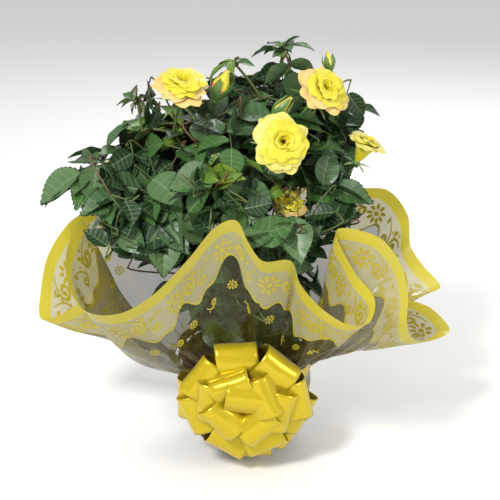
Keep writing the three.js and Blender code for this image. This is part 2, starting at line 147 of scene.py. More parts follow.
def turned(v, axis, angle):
    """v turned about axis by angle, in radians."""
    axis = unit(axis)
    v = np.asarray(v, float)
    side = np.cross(axis, v)
    return v * math.cos(angle) + side * math.sin(angle) + axis * axis.dot(v) * (1 - math.cos(angle))


def circle(sides):
    """Angles spread evenly once round."""
    return np.linspace(0, TAU, sides, endpoint=False)


def round_points(radius, angles, height):
    """Points told by their radius, angle and height; the three may be of any matching shapes."""
    x, y, z = np.broadcast_arrays(radius * np.cos(angles), radius * np.sin(angles), height)
    return np.stack([x, y, z], axis=-1)


def azimuths(points):
    """Whole degrees round +Z, from 0 to 359."""
    return np.degrees(np.arctan2(points[:, 1], points[:, 0])).astype(int) % 360


def catmull(points, t, closed=False):
    """Centripetal Catmull-Rom spline through points; t counts points along it."""
    points = np.asarray(points, float)
    count = len(points)
    t = np.asarray(t, float)
    last = count if closed else count - 1
    whole = np.clip(np.floor(t).astype(int), 0, last - 1)
    part = (t - whole)[:, None]

    def pick(offset):
        if closed:
            return points[(whole + offset) % count]
        index = whole + offset
        inside = points[np.clip(index, 0, last)]
        before = 2 * points[0] - points[1]
        after = 2 * points[-1] - points[-2]
        inside = np.where((index < 0)[:, None], before, inside)
        return np.where((index > last)[:, None], after, inside)

    p0, p1, p2, p3 = (pick(k) for k in (-1, 0, 1, 2))

    def knot(a, b):
        return np.sqrt(np.maximum(np.linalg.norm(b - a, axis=1), 1e-8))[:, None]

    d0, d1, d2 = knot(p0, p1), knot(p1, p2), knot(p2, p3)
    m1 = ((p1 - p0) / d0 - (p2 - p0) / (d0 + d1) + (p2 - p1) / d1) * d1
    m2 = ((p2 - p1) / d1 - (p3 - p1) / (d1 + d2) + (p3 - p2) / d2) * d1
    c2 = -3 * p1 + 3 * p2 - 2 * m1 - m2
    c3 = 2 * p1 - 2 * p2 + m1 + m2
    return p1 + m1 * part + c2 * part**2 + c3 * part**3


def bezier(a, b, c, count):
    """A curve from a to c that leaves and arrives towards b."""
    t = np.linspace(0, 1, count)[:, None]
    a, b, c = (np.asarray(p, float) for p in (a, b, c))
    return a * (1 - t) ** 2 + 2 * b * t * (1 - t) + c * t**2


def frames_along(points):
    """Tangents and two square directions along a line of points, with no sudden turn."""
    points = np.asarray(points, float)
    tangents = np.gradient(points, axis=0)
    tangents /= np.maximum(np.linalg.norm(tangents, axis=1), 1e-9)[:, None]
    normals = [across((0.2, 0.9, 0.4), tangents[0])]
    for tangent in tangents[1:]:
        normals.append(across(normals[-1], tangent))
    normals = np.array(normals)
    return tangents, normals, np.cross(tangents, normals)


# ---- Meshes -------------------------------------------------------------------------------
class Soup:
    """Geometry in millimetres, gathered into one piece, each face with a named look."""

    def __init__(self):
        self.order = []
        self.vertices = []
        self.faces = []
        self.marks = []
        self.count = 0

    def add(self, vertices, faces, look):
        self.add_parts(vertices, [(faces, look)])

    def add_parts(self, vertices, parts):
        """Adds one set of vertices with several lists of faces: parts is [(faces, look)]."""
        start = self.count
        self.vertices.append(np.asarray(vertices, float))
        self.count += len(vertices)
        for faces, look in parts:
            if look not in self.order:
                self.order.append(look)
            self.faces.extend((np.asarray(faces) + start).tolist())
            self.marks.append(np.full(len(faces), self.order.index(look)))

    def piece(self, name, slot, nodes=()):
        """Makes one piece of all this; it takes the place of the named CAD nodes."""
        mesh = bpy.data.meshes.new(name)
        mesh.from_pydata((np.concatenate(self.vertices) * MM).tolist(), [], self.faces)
        mesh.polygons.foreach_set("material_index", np.concatenate(self.marks).astype(np.int32))
        for look in self.order:
            mesh.materials.append(LOOKS[look])
        mesh.shade_smooth()
        mesh.update()
        made = bpy.data.objects.new(name, mesh)
        bpy.context.scene.collection.objects.link(made)
        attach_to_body(made, "root")
        if nodes:
            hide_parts(*nodes)
        return made


def grid_faces(rows, columns, closed=False):
    """Quads of a grid of rows x columns vertices, numbered row by row."""
    r = np.arange(rows - 1)[:, None]
    c = np.arange(columns if closed else columns - 1)[None, :]
    here, above = r * columns, (r + 1) * columns
    after = (c + 1) % columns
    return np.stack([here + c, here + after, above + after, above + c], axis=-1).reshape(-1, 4)


def add_tube(soup, points, radii, sides, look):
    """A round tube with closed ends; radii is one number for each point, or for each vertex."""
    points = np.asarray(points, float)
    _, normals, binormals = frames_along(points)
    angles = circle(sides)[:, None]
    radii = np.asarray(radii, float)
    if radii.ndim == 1:
        radii = np.repeat(radii[:, None], sides, axis=1)
    ring = normals[:, None] * np.cos(angles) + binormals[:, None] * np.sin(angles)
    vertices = (points[:, None] + ring * radii[:, :, None]).reshape(-1, 3)
    last = (len(points) - 1) * sides
    caps = [list(range(sides))[::-1], [last + k for k in range(sides)]]
    walls = grid_faces(len(points), sides, closed=True)
    soup.add_parts(vertices, [(walls, look), (caps, look)])


def lathe(soup, profile, sides, look):
    """A body turned about +Z from [radius, height] points."""
    radius, height = np.asarray(profile, float).T[:, :, None]
    points = round_points(radius, circle(sides), height)
    soup.add(points.reshape(-1, 3), grid_faces(len(profile), sides, closed=True), look)


# ---- What the frame says ------------------------------------------------------------------
def nodes_named(start):
    """The CAD nodes whose names begin with start, in order of name."""
    return sorted(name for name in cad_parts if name.startswith(start))


def raw_points(name):
    """A CAD node's vertices in millimetres."""
    return np.array([v.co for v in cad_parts[name].data.vertices], float) / MM


def node_points(name):
    """A CAD node's own points in millimetres, each once."""
    return np.unique(np.round(raw_points(name), 2), axis=0)


def node_triangles(name):
    """A CAD node's vertices and triangles."""
    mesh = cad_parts[name].data
    mesh.calc_loop_triangles()
    return raw_points(name), np.array([t.vertices[:] for t in mesh.loop_triangles])


def box_mm(name):
    """The foot, the top and the largest x of a CAD node, in millimetres."""
    low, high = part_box(name)
    return low[2] / MM, high[2] / MM, high[0] / MM


def foot_radius(name, foot):
    """How far a CAD node reaches from the middle at its foot."""
    points = node_points(name)
    return np.hypot(*points[points[:, 2] < foot + 0.5][:, :2].T).max()


def centreline(name, sides):
    """The middle of each ring of a CAD limb, from its foot to its tip."""
    points = node_points(name)
    points = points[np.argsort(points[:, 2])]
    rings = [points[: sides + 1]]
    middle = points[sides + 1 : -(sides + 1)]
    rings += [middle[i : i + sides] for i in range(0, len(middle), sides)]
    rings.append(points[-(sides + 1) :])
    return np.array([ring.mean(axis=0) for ring in rings])


def flower_frame(name):
    """Seat, axis, radius and height of a CAD flower, a body of revolution."""
    points = node_points(name)
    middle = points.mean(axis=0)
    _, spread, directions = np.linalg.svd(points - middle)
    odd = int(np.argmax(np.abs(spread - np.median(spread))))
    axis = directions[odd]
    along = (points - middle) @ axis
    out = np.linalg.norm((points - middle) - along[:, None] * axis, axis=1)
    if name.startswith("bloom"):  # a bloom is widest near its top
        upside_down = along[np.argmax(out)] < (along.max() + along.min()) / 2
    else:
        upside_down = axis[2] < 0
    if upside_down:
        axis, along = -axis, -along
    seat = middle + axis * along.min()
    return seat, axis, out.max(), along.max() - along.min()


# ---- Materials ----------------------------------------------------------------------------
def principled(name, color, roughness, **values):
    """A plain Principled material; values name its sockets with _ for each space."""
    material = bpy.data.materials.new(name)
    material.use_nodes = True
    shader = material.node_tree.nodes["Principled BSDF"]
    shader.inputs["Base Color"].default_value = (*color, 1)
    shader.inputs["Roughness"].default_value = roughness
    for socket, value in values.items():
        shader.inputs[socket.replace("_", " ")].default_value = value
    return material


def noise(material, scale, detail):
    """The output of a noise texture laid over the object."""
    nodes = material.node_tree.nodes
    place = nodes.new("ShaderNodeTexCoord")
    texture = nodes.new("ShaderNodeTexNoise")
    texture.inputs["Scale"].default_value = scale
    texture.inputs["Detail"].default_value = detail
    material.node_tree.links.new(place.outputs["Object"], texture.inputs["Vector"])
    return texture.outputs["Fac"]


def add_bump(material, scale, strength, depth, detail):
    """Fine relief; scale is in repeats per metre and depth in metres."""
    nodes = material.node_tree.nodes
    links = material.node_tree.links
    bump = nodes.new("ShaderNodeBump")
    bump.inputs["Strength"].default_value = strength
    bump.inputs["Distance"].default_value = depth
    links.new(noise(material, scale, detail), bump.inputs["Height"])
    links.new(bump.outputs["Normal"], nodes["Principled BSDF"].inputs["Normal"])
    return material


def add_mottle(material, dark, light, scale, detail):
    """Colour that drifts between dark and light."""
    nodes = material.node_tree.nodes
    links = material.node_tree.links
    ramp = nodes.new("ShaderNodeValToRGB")
    for element, position, color in zip(ramp.color_ramp.elements, (0.35, 0.65), (dark, light)):
        element.position = position
        element.color = (*color, 1)
    links.new(noise(material, scale, detail), ramp.inputs["Fac"])
    links.new(ramp.outputs["Color"], nodes["Principled BSDF"].inputs["Base Color"])
    return material


LEAF_COLORS = {
    "leaf_dark": (0.026, 0.068, 0.018),
    # The deep look is partly a darker leaf tone and partly painted shade: it also goes on the leaves
    # in the middle of each mass and on leaves on the canes.
    "leaf_deep": (0.013, 0.038, 0.011),
    "leaf_grey": (0.052, 0.112, 0.038),
    "leaf_pale": (0.078, 0.150, 0.054),
    "leaf_mid": (0.045, 0.122, 0.024),
    "leaf_fresh": (0.100, 0.200, 0.022),
    "leaf_lime": (0.160, 0.265, 0.024),
    "leaf_bronze": (0.055, 0.058, 0.026),
    "leaf_vein": (0.145, 0.225, 0.100),
    "leaf_vein_young": (0.24, 0.30, 0.07),
    "leaf_under": (0.060, 0.112, 0.042),
    "leaf_under_young": (0.15, 0.19, 0.06),
    "leaf_edge_red": (0.13, 0.045, 0.020),
    "sepal": (0.11, 0.20, 0.05),
}
LEAF_ROUGHNESS = 0.40
ROUGHER_LEAVES = {"leaf_under": 0.6, "leaf_under_young": 0.55}
LEAF_GLOSS = {"Specular_IOR_Level": 0.38, "Coat_Weight": 0.10, "Coat_Roughness": 0.25}
LEAF_RELIEF = (900, 0.25, 0.0003, 3.0)  # scale, strength, depth and detail, as in add_bump
YOUNG_LOOKS = ("lime", "bronze", "fresh")  # looks of narrow, folded, red-edged young leaves
PETAL_COLORS = {
    # petal_heart is the rose's own deeper yellow at the petals' feet, made darker still as painted
    # shade between the petals.
    "petal_heart": (0.55, 0.36, 0.002),
    "petal_lemon": (0.64, 0.53, 0.006),
    "petal_pale": (0.66, 0.57, 0.030),
    "petal_cream": (0.67, 0.60, 0.13),
    "petal_peach": (0.70, 0.50, 0.16),
    "petal_blush": (0.60, 0.16, 0.09),
}
PETAL_ROUGHNESS = 0.5
PETAL_SOFTNESS = {"Subsurface_Weight": 0.08, "Subsurface_Scale": 0.003, "Sheen_Weight": 0.1}
PETAL_RELIEF = (700, 0.15, 0.0003, 3.0)
# Film: colour, roughness, opacity and the share of light that is let through.
FILM_YELLOW = (0.66, 0.56, 0.055)
FILM_LOOKS = {
    "film_border": (FILM_YELLOW, 0.28, 1.0, 0.45),
    "film_print": (FILM_YELLOW, 0.32, 1.0, 0.45),
    "film_frost": ((0.52, 0.47, 0.25), 0.38, 0.78, 0.3),
    "film_clear": ((0.055, 0.048, 0.008), 0.12, 0.40, 0),
    # Clear film made darker and less see-through on the back and sides.
    "film_clear_darker": ((0.15, 0.125, 0.040), 0.14, 0.74, 0),
}
FILM_COAT = {"Coat_Weight": 0.25, "Coat_Roughness": 0.08}
FILM_RELIEF = (90, 0.18, 0.0012, 2.0)
# The rest: colour, roughness and relief.
PLAIN_LOOKS = {
    "twig": ((0.085, 0.115, 0.030), 0.5, (500, 0.3, 0.0003, 2.0)),
    "twig_red": ((0.115, 0.060, 0.025), 0.5, (500, 0.3, 0.0003, 2.0)),
    "thorn": ((0.16, 0.075, 0.035), 0.45, (600, 0.2, 0.0002, 2.0)),
    "cane_bark": ((0.07, 0.10, 0.03), 0.6, (350, 0.5, 0.0006, 6.0)),
    "wicker": ((0.10, 0.05, 0.02), 0.5, (600, 0.45, 0.0005, 5.0)),
    "pot_plastic": ((0.012, 0.012, 0.012), 0.45, (1500, 0.2, 0.0002, 2.0)),
    "soil": ((0.03, 0.02, 0.012), 0.95, (500, 1.0, 0.0012, 8.0)),
}
SATIN_COLOR = (0.56, 0.42, 0.006)
SATIN_RELIEF = (260, 0.10, 0.0004, 2.0)
# Looks whose colour drifts: dark, light, and the scale and detail of the drift.
MOTTLED = {
    "cane_bark": ((0.055, 0.075, 0.022), (0.13, 0.15, 0.055), 120, 6.0),
    "wicker": ((0.030, 0.016, 0.008), (0.13, 0.072, 0.034), 90, 5.0),
    "soil": ((0.012, 0.008, 0.005), (0.055, 0.036, 0.022), 260, 8.0),
}


def make_looks():
    """Every material of the plant and its wrapping, by name."""
    looks = {}
    for name, color in LEAF_COLORS.items():
        rough = ROUGHER_LEAVES.get(name, LEAF_ROUGHNESS)
        looks[name] = add_bump(principled(name, color, rough, **LEAF_GLOSS), *LEAF_RELIEF)
    for name, color in PETAL_COLORS.items():
        soft = principled(name, color, PETAL_ROUGHNESS, **PETAL_SOFTNESS)
        looks[name] = add_bump(soft, *PETAL_RELIEF)
    for name, (color, rough, alpha, glow) in FILM_LOOKS.items():
        sheet = principled(name, color, rough, Alpha=alpha, **FILM_COAT)
        looks[name] = add_bump(sheet, *FILM_RELIEF)
        if glow:
            add_glow(looks[name], color, glow)
    for name, (color, rough, relief) in PLAIN_LOOKS.items():
        looks[name] = principled(name, color, rough)
        if name in MOTTLED:
            add_mottle(looks[name], *MOTTLED[name])
        add_bump(looks[name], *relief)
    satin = principled("satin", SATIN_COLOR, 0.23, Metallic=0.4, Sheen_Weight=0.1)
    looks["satin"] = add_bump(satin, *SATIN_RELIEF)
    return looks


def add_glow(material, color, share):
    """Lets light through a thin sheet, so that its shaded side still shows its colour."""
    nodes = material.node_tree.nodes
    links = material.node_tree.links
    through = nodes.new("ShaderNodeBsdfTranslucent")
    through.inputs["Color"].default_value = (*color, 1)
    mixed = nodes.new("ShaderNodeMixShader")
    mixed.inputs["Fac"].default_value = share
    links.new(nodes["Principled BSDF"].outputs["BSDF"], mixed.inputs[1])
    links.new(through.outputs["BSDF"], mixed.inputs[2])
    links.new(mixed.outputs["Shader"], nodes["Material Output"].inputs["Surface"])
    return material


LOOKS = make_looks()


# ---- Basket, pot and soil -------------------------------------------------------------------
ROD = 1.55  # radius of the rods that are woven
STAKES = 22
WEAVE = {"first": 9, "last": 8, "pitch": ROD * 1.9, "inset": ROD * 1.35, "swing": ROD * 0.8}
PLAIT = {"strands": 3, "turns": 16, "rod": 1.6, "swing": 2.0, "rise": 1.7, "inset": 2.6}
POT_WALL = 1.6
SOIL = {"rings": 26, "sides": 72, "crumbs": 420, "crumb_size": (0.6, 1.9)}


def basket_size():
    """Foot, belly and top of the CAD basket, as radii, and the heights of the last two."""
    points = node_points("basket")
    reach = np.hypot(points[:, 0], points[:, 1])
    height = points[:, 2].max()
    middle = points[(points[:, 2] > 0.1 * height) & (points[:, 2] < 0.9 * height)]
    belly = middle[np.argmax(np.hypot(middle[:, 0], middle[:, 1]))]
    return {
        "foot": reach[points[:, 2] < 0.5].max(),
        "belly": math.hypot(belly[0], belly[1]),
        "belly_height": belly[2],
        "top": reach[points[:, 2] > height - 0.5].max(),
        "height": height,
    }


def basket_radius(height, size):
    """The basket's outer radius at a height."""
    if height <= size["belly_height"]:
        return mix(size["foot"], size["belly"], height / size["belly_height"])
    share = (height - size["belly_height"]) / (size["height"] - size["belly_height"])
    return mix(size["belly"], size["top"], share)


def woven_basket():
    """Upright stakes, rods woven in and out of them, and a plait at the foot and the rim."""
    size = basket_size()
    soup = Soup()
    for k in range(STAKES):
        heights = np.linspace(3, size["height"] - 3, 12)
        reach = [basket_radius(z, size) - WEAVE["inset"] for z in heights]
        line = [polar(360 * k / STAKES, r, z) for r, z in zip(reach, heights)]
        add_tube(soup, line, np.full(len(heights), ROD * 0.95), 6, "wicker")
    turns = circle(STAKES * 6)
    rows = int((size["height"] - WEAVE["first"] - WEAVE["last"]) / WEAVE["pitch"])
    for row in range(rows):
        height = WEAVE["first"] + row * WEAVE["pitch"]
        swing = WEAVE["swing"] if row % 2 else -WEAVE["swing"]
        radius = basket_radius(height, size) - WEAVE["inset"] + swing * np.cos(turns * STAKES / 2)
        lift = 0.25 * np.sin(turns * 5 + row)
        closed_tube(soup, round_points(radius, turns, height + lift), ROD * 0.92, 6, "wicker")
    for height in (3.4, size["height"] - 3.6):
        for strand in range(PLAIT["strands"]):
            phase = turns * PLAIT["turns"] + TAU * strand / PLAIT["strands"]
            radius = basket_radius(height, size) - PLAIT["inset"] + PLAIT["swing"] * np.sin(phase)
            rise = PLAIT["rise"] * np.sin(2 * phase)
            closed_tube(soup, round_points(radius, turns, height + rise), PLAIT["rod"], 6, "wicker")
    foot = size["foot"] - 4
    lathe(soup, [[0, 1.2], [foot, 1.2], [foot, 3.0], [0, 3.0]], 48, "wicker")
    soup.piece("woven_basket", "wicker", ["basket"])


def closed_tube(soup, ring, radius, sides, look):
    """A tube along a closed ring of points."""
    tangents = np.roll(ring, -1, axis=0) - np.roll(ring, 1, axis=0)
    tangents /= np.linalg.norm(tangents, axis=1)[:, None]
    outward = ring * [1, 1, 0]
    outward /= np.linalg.norm(outward, axis=1)[:, None]
    over = np.cross(tangents, outward)
    angles = circle(sides)[:, None]
    swing = outward[:, None] * np.cos(angles) + over[:, None] * np.sin(angles)
    vertices = ring[:, None] + radius * swing
    vertices = np.concatenate([vertices, vertices[:1]]).reshape(-1, 3)
    soup.add(vertices, grid_faces(len(ring) + 1, sides, closed=True), look)


def nursery_pot():
    """A thin-walled pot with a lip that stands out."""
    foot_z, top_z, top = box_mm("nursery_pot")
    foot = foot_radius("nursery_pot", foot_z)
    lip_z = mix(foot_z, top_z, 0.86)
    soup = Soup()
    profile = [
        [0, foot_z], [foot, foot_z], [mix(foot, top, 0.86) - POT_WALL, lip_z],
        [top - 0.6, mix(foot_z, top_z, 0.87)], [top, top_z - 0.6], [top - 0.5, top_z],
        [top - POT_WALL, top_z], [top - POT_WALL - 1.5, lip_z], [foot - POT_WALL, foot_z + POT_WALL],
        [0, foot_z + POT_WALL],
    ]
    lathe(soup, profile, 72, "pot_plastic")
    soup.piece("plastic_pot", "pot_plastic", ["nursery_pot"])


def potting_soil():
    """A lumpy surface with crumbs on it."""
    foot_z, top_z, radius = box_mm("potting_soil")
    soup = Soup()
    rings, sides = SOIL["rings"], SOIL["sides"]
    shares = np.linspace(0.001, 1, rings)
    angles = circle(sides)
    x = shares[:, None] * radius * np.cos(angles)
    y = shares[:, None] * radius * np.sin(angles)
    lumps = 0.9 * np.sin(x * 0.31 + 1) * np.cos(y * 0.27) + 0.6 * np.sin(x * 0.83 - y * 0.71)
    lumps = lumps + 0.4 * np.sin(x * 1.9 + y * 1.3)
    z = top_z - 1.5 + lumps * np.minimum(1, (1 - shares[:, None]) * 6 + 0.2)
    points = np.stack([x, y, z], axis=-1).reshape(-1, 3)
    soup.add(points, grid_faces(rings, sides, closed=True), "soil")
    foot = foot_radius("potting_soil", foot_z)
    lathe(soup, [[radius, top_z - 1.6], [foot, foot_z], [0.01, foot_z]], sides, "soil")
    draw = random.Random(3)
    for _ in range(SOIL["crumbs"]):
        away = radius * 0.95 * math.sqrt(draw.random())
        spot = polar(draw.uniform(0, 360), away, top_z - 1.0)
        add_crumb(soup, spot, draw.uniform(*SOIL["crumb_size"]), draw, "soil")
    soup.piece("crumbly_soil", "soil", ["potting_soil"])


def add_crumb(soup, spot, size, draw, look):
    """A small lump with eight faces, its corners drawn out unevenly."""
    corners = np.array([[1, 0, 0], [-1, 0, 0], [0, 1, 0], [0, -1, 0], [0, 0, 1], [0, 0, -1]])
    corners = corners * [[size * draw.uniform(0.6, 1.1)] for _ in corners]
    faces = [(0, 2, 4), (2, 1, 4), (1, 3, 4), (3, 0, 4), (2, 0, 5), (1, 2, 5), (3, 1, 5), (0, 3, 5)]
    soup.add(corners + spot, faces, look)


# ---- Film wrap ------------------------------------------------------------------------------
class Film:
    """The film's middle surface, told by distance along the free edge and in from it."""

    STEP = 1.0  # spacing of the table's rows in from the edge

    def __init__(self):
        """Bends a sheet from the neck to the ribs' ends, then measures it in from the edge."""
        ribs = np.array(FILM_RIBS, float)
        count = len(ribs)
        edge_points = round_points(ribs[:, 1], np.radians(ribs[:, 0]), ribs[:, 2])
        chords = np.linalg.norm(np.roll(edge_points, -1, axis=0) - edge_points, axis=1)
        along = np.concatenate([[0], np.cumsum(chords)])
        evenly = ribs[0, 0] + 360 * along / along[-1]
        necks = np.append((ribs[:, 0] + evenly[:-1]) / 2, ribs[0, 0] + 360)
        lifts = np.append(ribs[:, 3], ribs[0, 3])
        self.columns = count * FILM_COLUMNS
        rib = np.arange(self.columns) / FILM_COLUMNS
        azimuth = np.radians(np.interp(rib, np.arange(count + 1), necks))
        lift = np.interp(rib, np.arange(count + 1), lifts)
        edge = catmull(edge_points, rib, closed=True)
        neck = round_points(NECK["radius"], azimuth, NECK["height"])
        middle = (neck + edge) / 2
        middle[:, 2] = NECK["height"] + lift
        out = np.linspace(1, 0, SHEET_ROWS)[:, None, None]
        sheet = neck * (1 - out) ** 2 + 2 * middle * out * (1 - out) + edge * out**2
        steps = np.linalg.norm(np.diff(sheet, axis=0), axis=2)
        depth = np.concatenate([np.zeros((1, self.columns)), np.cumsum(steps, axis=0)])
        self.depth = depth[-1]
        self.rows = int(self.depth.max() / self.STEP) + 2
        inward = np.arange(self.rows) * self.STEP
        table = np.empty((self.columns, self.rows, 3))
        for c in range(self.columns):
            for k in range(3):
                table[c, :, k] = np.interp(inward, depth[:, c], sheet[:, c, k])
        hops = np.linalg.norm(np.roll(edge, -1, axis=0) - edge, axis=1)
        self.edge_at = np.concatenate([[0], np.cumsum(hops)])
        self.around = self.edge_at[-1]
        self.table = table
        self.normals = self.normals_of(table)
        self.table = table + self.normals * self.crinkle(azimuth)[:, :, None]
        self.normals = self.normals_of(self.table)
        spread = np.linalg.norm(np.roll(self.table, -1, axis=0) - self.table, axis=2)
        self.gather = np.clip(spread / np.maximum(hops, 1e-6)[:, None], 0.4, 1.2)

    def normals_of(self, table):
        """Unit normals of a table of points."""
        side = np.roll(table, -1, axis=0) - np.roll(table, 1, axis=0)
        inward = np.gradient(table, axis=1)
        normals = np.cross(inward, side)
        length = np.linalg.norm(normals, axis=2)[:, :, None]
        return normals / np.maximum(length, 1e-6)

    def crinkle(self, azimuth):
        """Tight pleats at the neck that fade outwards, and slack ripples in the sheet."""
        s = self.edge_at[:-1][:, None]
        d = np.arange(self.rows)[None, :] * self.STEP
        share = np.clip(d / self.depth[:, None], 0, 1)
        many, few = PLEATS
        pleats = 2.2 * np.sin(many * azimuth)[:, None] + 1.2 * np.sin(few * azimuth + 1)[:, None]
        ripples = 1.3 * np.sin(s / 13 + 0.8) * np.sin(d / 21 + s / 60)
        ripples = ripples + 0.7 * np.sin(s / 7.3 - d / 11)
        return pleats * share**3 + ripples * np.sin(math.pi * share) ** 0.7

    def at(self, s, d):
        """Points and normals at s along the edge and d in from it."""
        s = np.mod(np.asarray(s, float), self.around)
        column = np.interp(s, self.edge_at, np.arange(self.columns + 1))
        row = np.clip(np.asarray(d, float) / self.STEP, 0, self.rows - 1.001)
        c0 = np.floor(column).astype(int)
        r0 = np.floor(row).astype(int)
        fc = (column - c0)[..., None]
        fr = (row - r0)[..., None]
        c0 = c0 % self.columns
        c1 = (c0 + 1) % self.columns
        found = []
        for table in (self.table, self.normals):
            near = mix(table[c0, r0], table[c0, r0 + 1], fr)
            far = mix(table[c1, r0], table[c1, r0 + 1], fr)
            found.append(mix(near, far, fc))
        return found

    def gathered(self, s, d):
        """How much the sheet is drawn together at a place, from 1 at the free edge."""
        column = int(np.interp(s % self.around, self.edge_at, np.arange(self.columns + 1)))
        row = int(min(max(d, 0) / self.STEP, self.rows - 1))
        return self.gather[column % self.columns, row]

    def frost_end(self, s, depth):
        """How far in the frosted band reaches, in an uneven line that follows the print."""
        wave = np.sin(TAU * s / MOTIF_STEP) + 0.5 * np.sin(TAU * 2 * s / MOTIF_STEP + 1.1)
        return np.minimum(BORDER + FROST + FROST_SWING * wave, depth * FROST_LIMIT)


def film_sheet(film):
    """The whole sheet in its bands: the border, the frosted band and the clear inner part."""
    soup = Soup()
    s = film.edge_at[:-1]
    frost = film.frost_end(s, film.depth)
    border_rows, frost_rows, clear_rows = 4, 12, 26
    rows = [np.full(len(s), BORDER * k / border_rows) for k in range(border_rows)]
    rows += [mix(BORDER, frost, k / frost_rows) for k in range(frost_rows)]
    rows += [mix(frost, film.depth, k / clear_rows) for k in range(clear_rows + 1)]
    points = np.array([film.at(s, row)[0] for row in rows])
    columns = len(s)
    faces = grid_faces(len(rows), columns, closed=True)
    ends = [border_rows * columns, (border_rows + frost_rows) * columns]
    inner = faces[ends[1] :]
    azimuth = np.degrees(np.arctan2(points[-1][:, 1], points[-1][:, 0]))[inner[:, 0] % columns]
    # Faces of the clear part whose azimuth lies in the lighter, more see-through front stretch.
    in_clearer_stretch = (azimuth > CLEARER_FILM[0]) & (azimuth < CLEARER_FILM[1])
    looks = [
        (faces[: ends[0]], "film_border"),
        (faces[ends[0] : ends[1]], "film_frost"),
        (inner[in_clearer_stretch], "film_clear"),
        (inner[~in_clearer_stretch], "film_clear_darker"),
    ]
    soup.add_parts(points.reshape(-1, 3), looks)
    wraps = [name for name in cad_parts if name.startswith("wrap_") and name != "wrap_skirt"]
    soup.piece("film_wrap", "film", wraps)


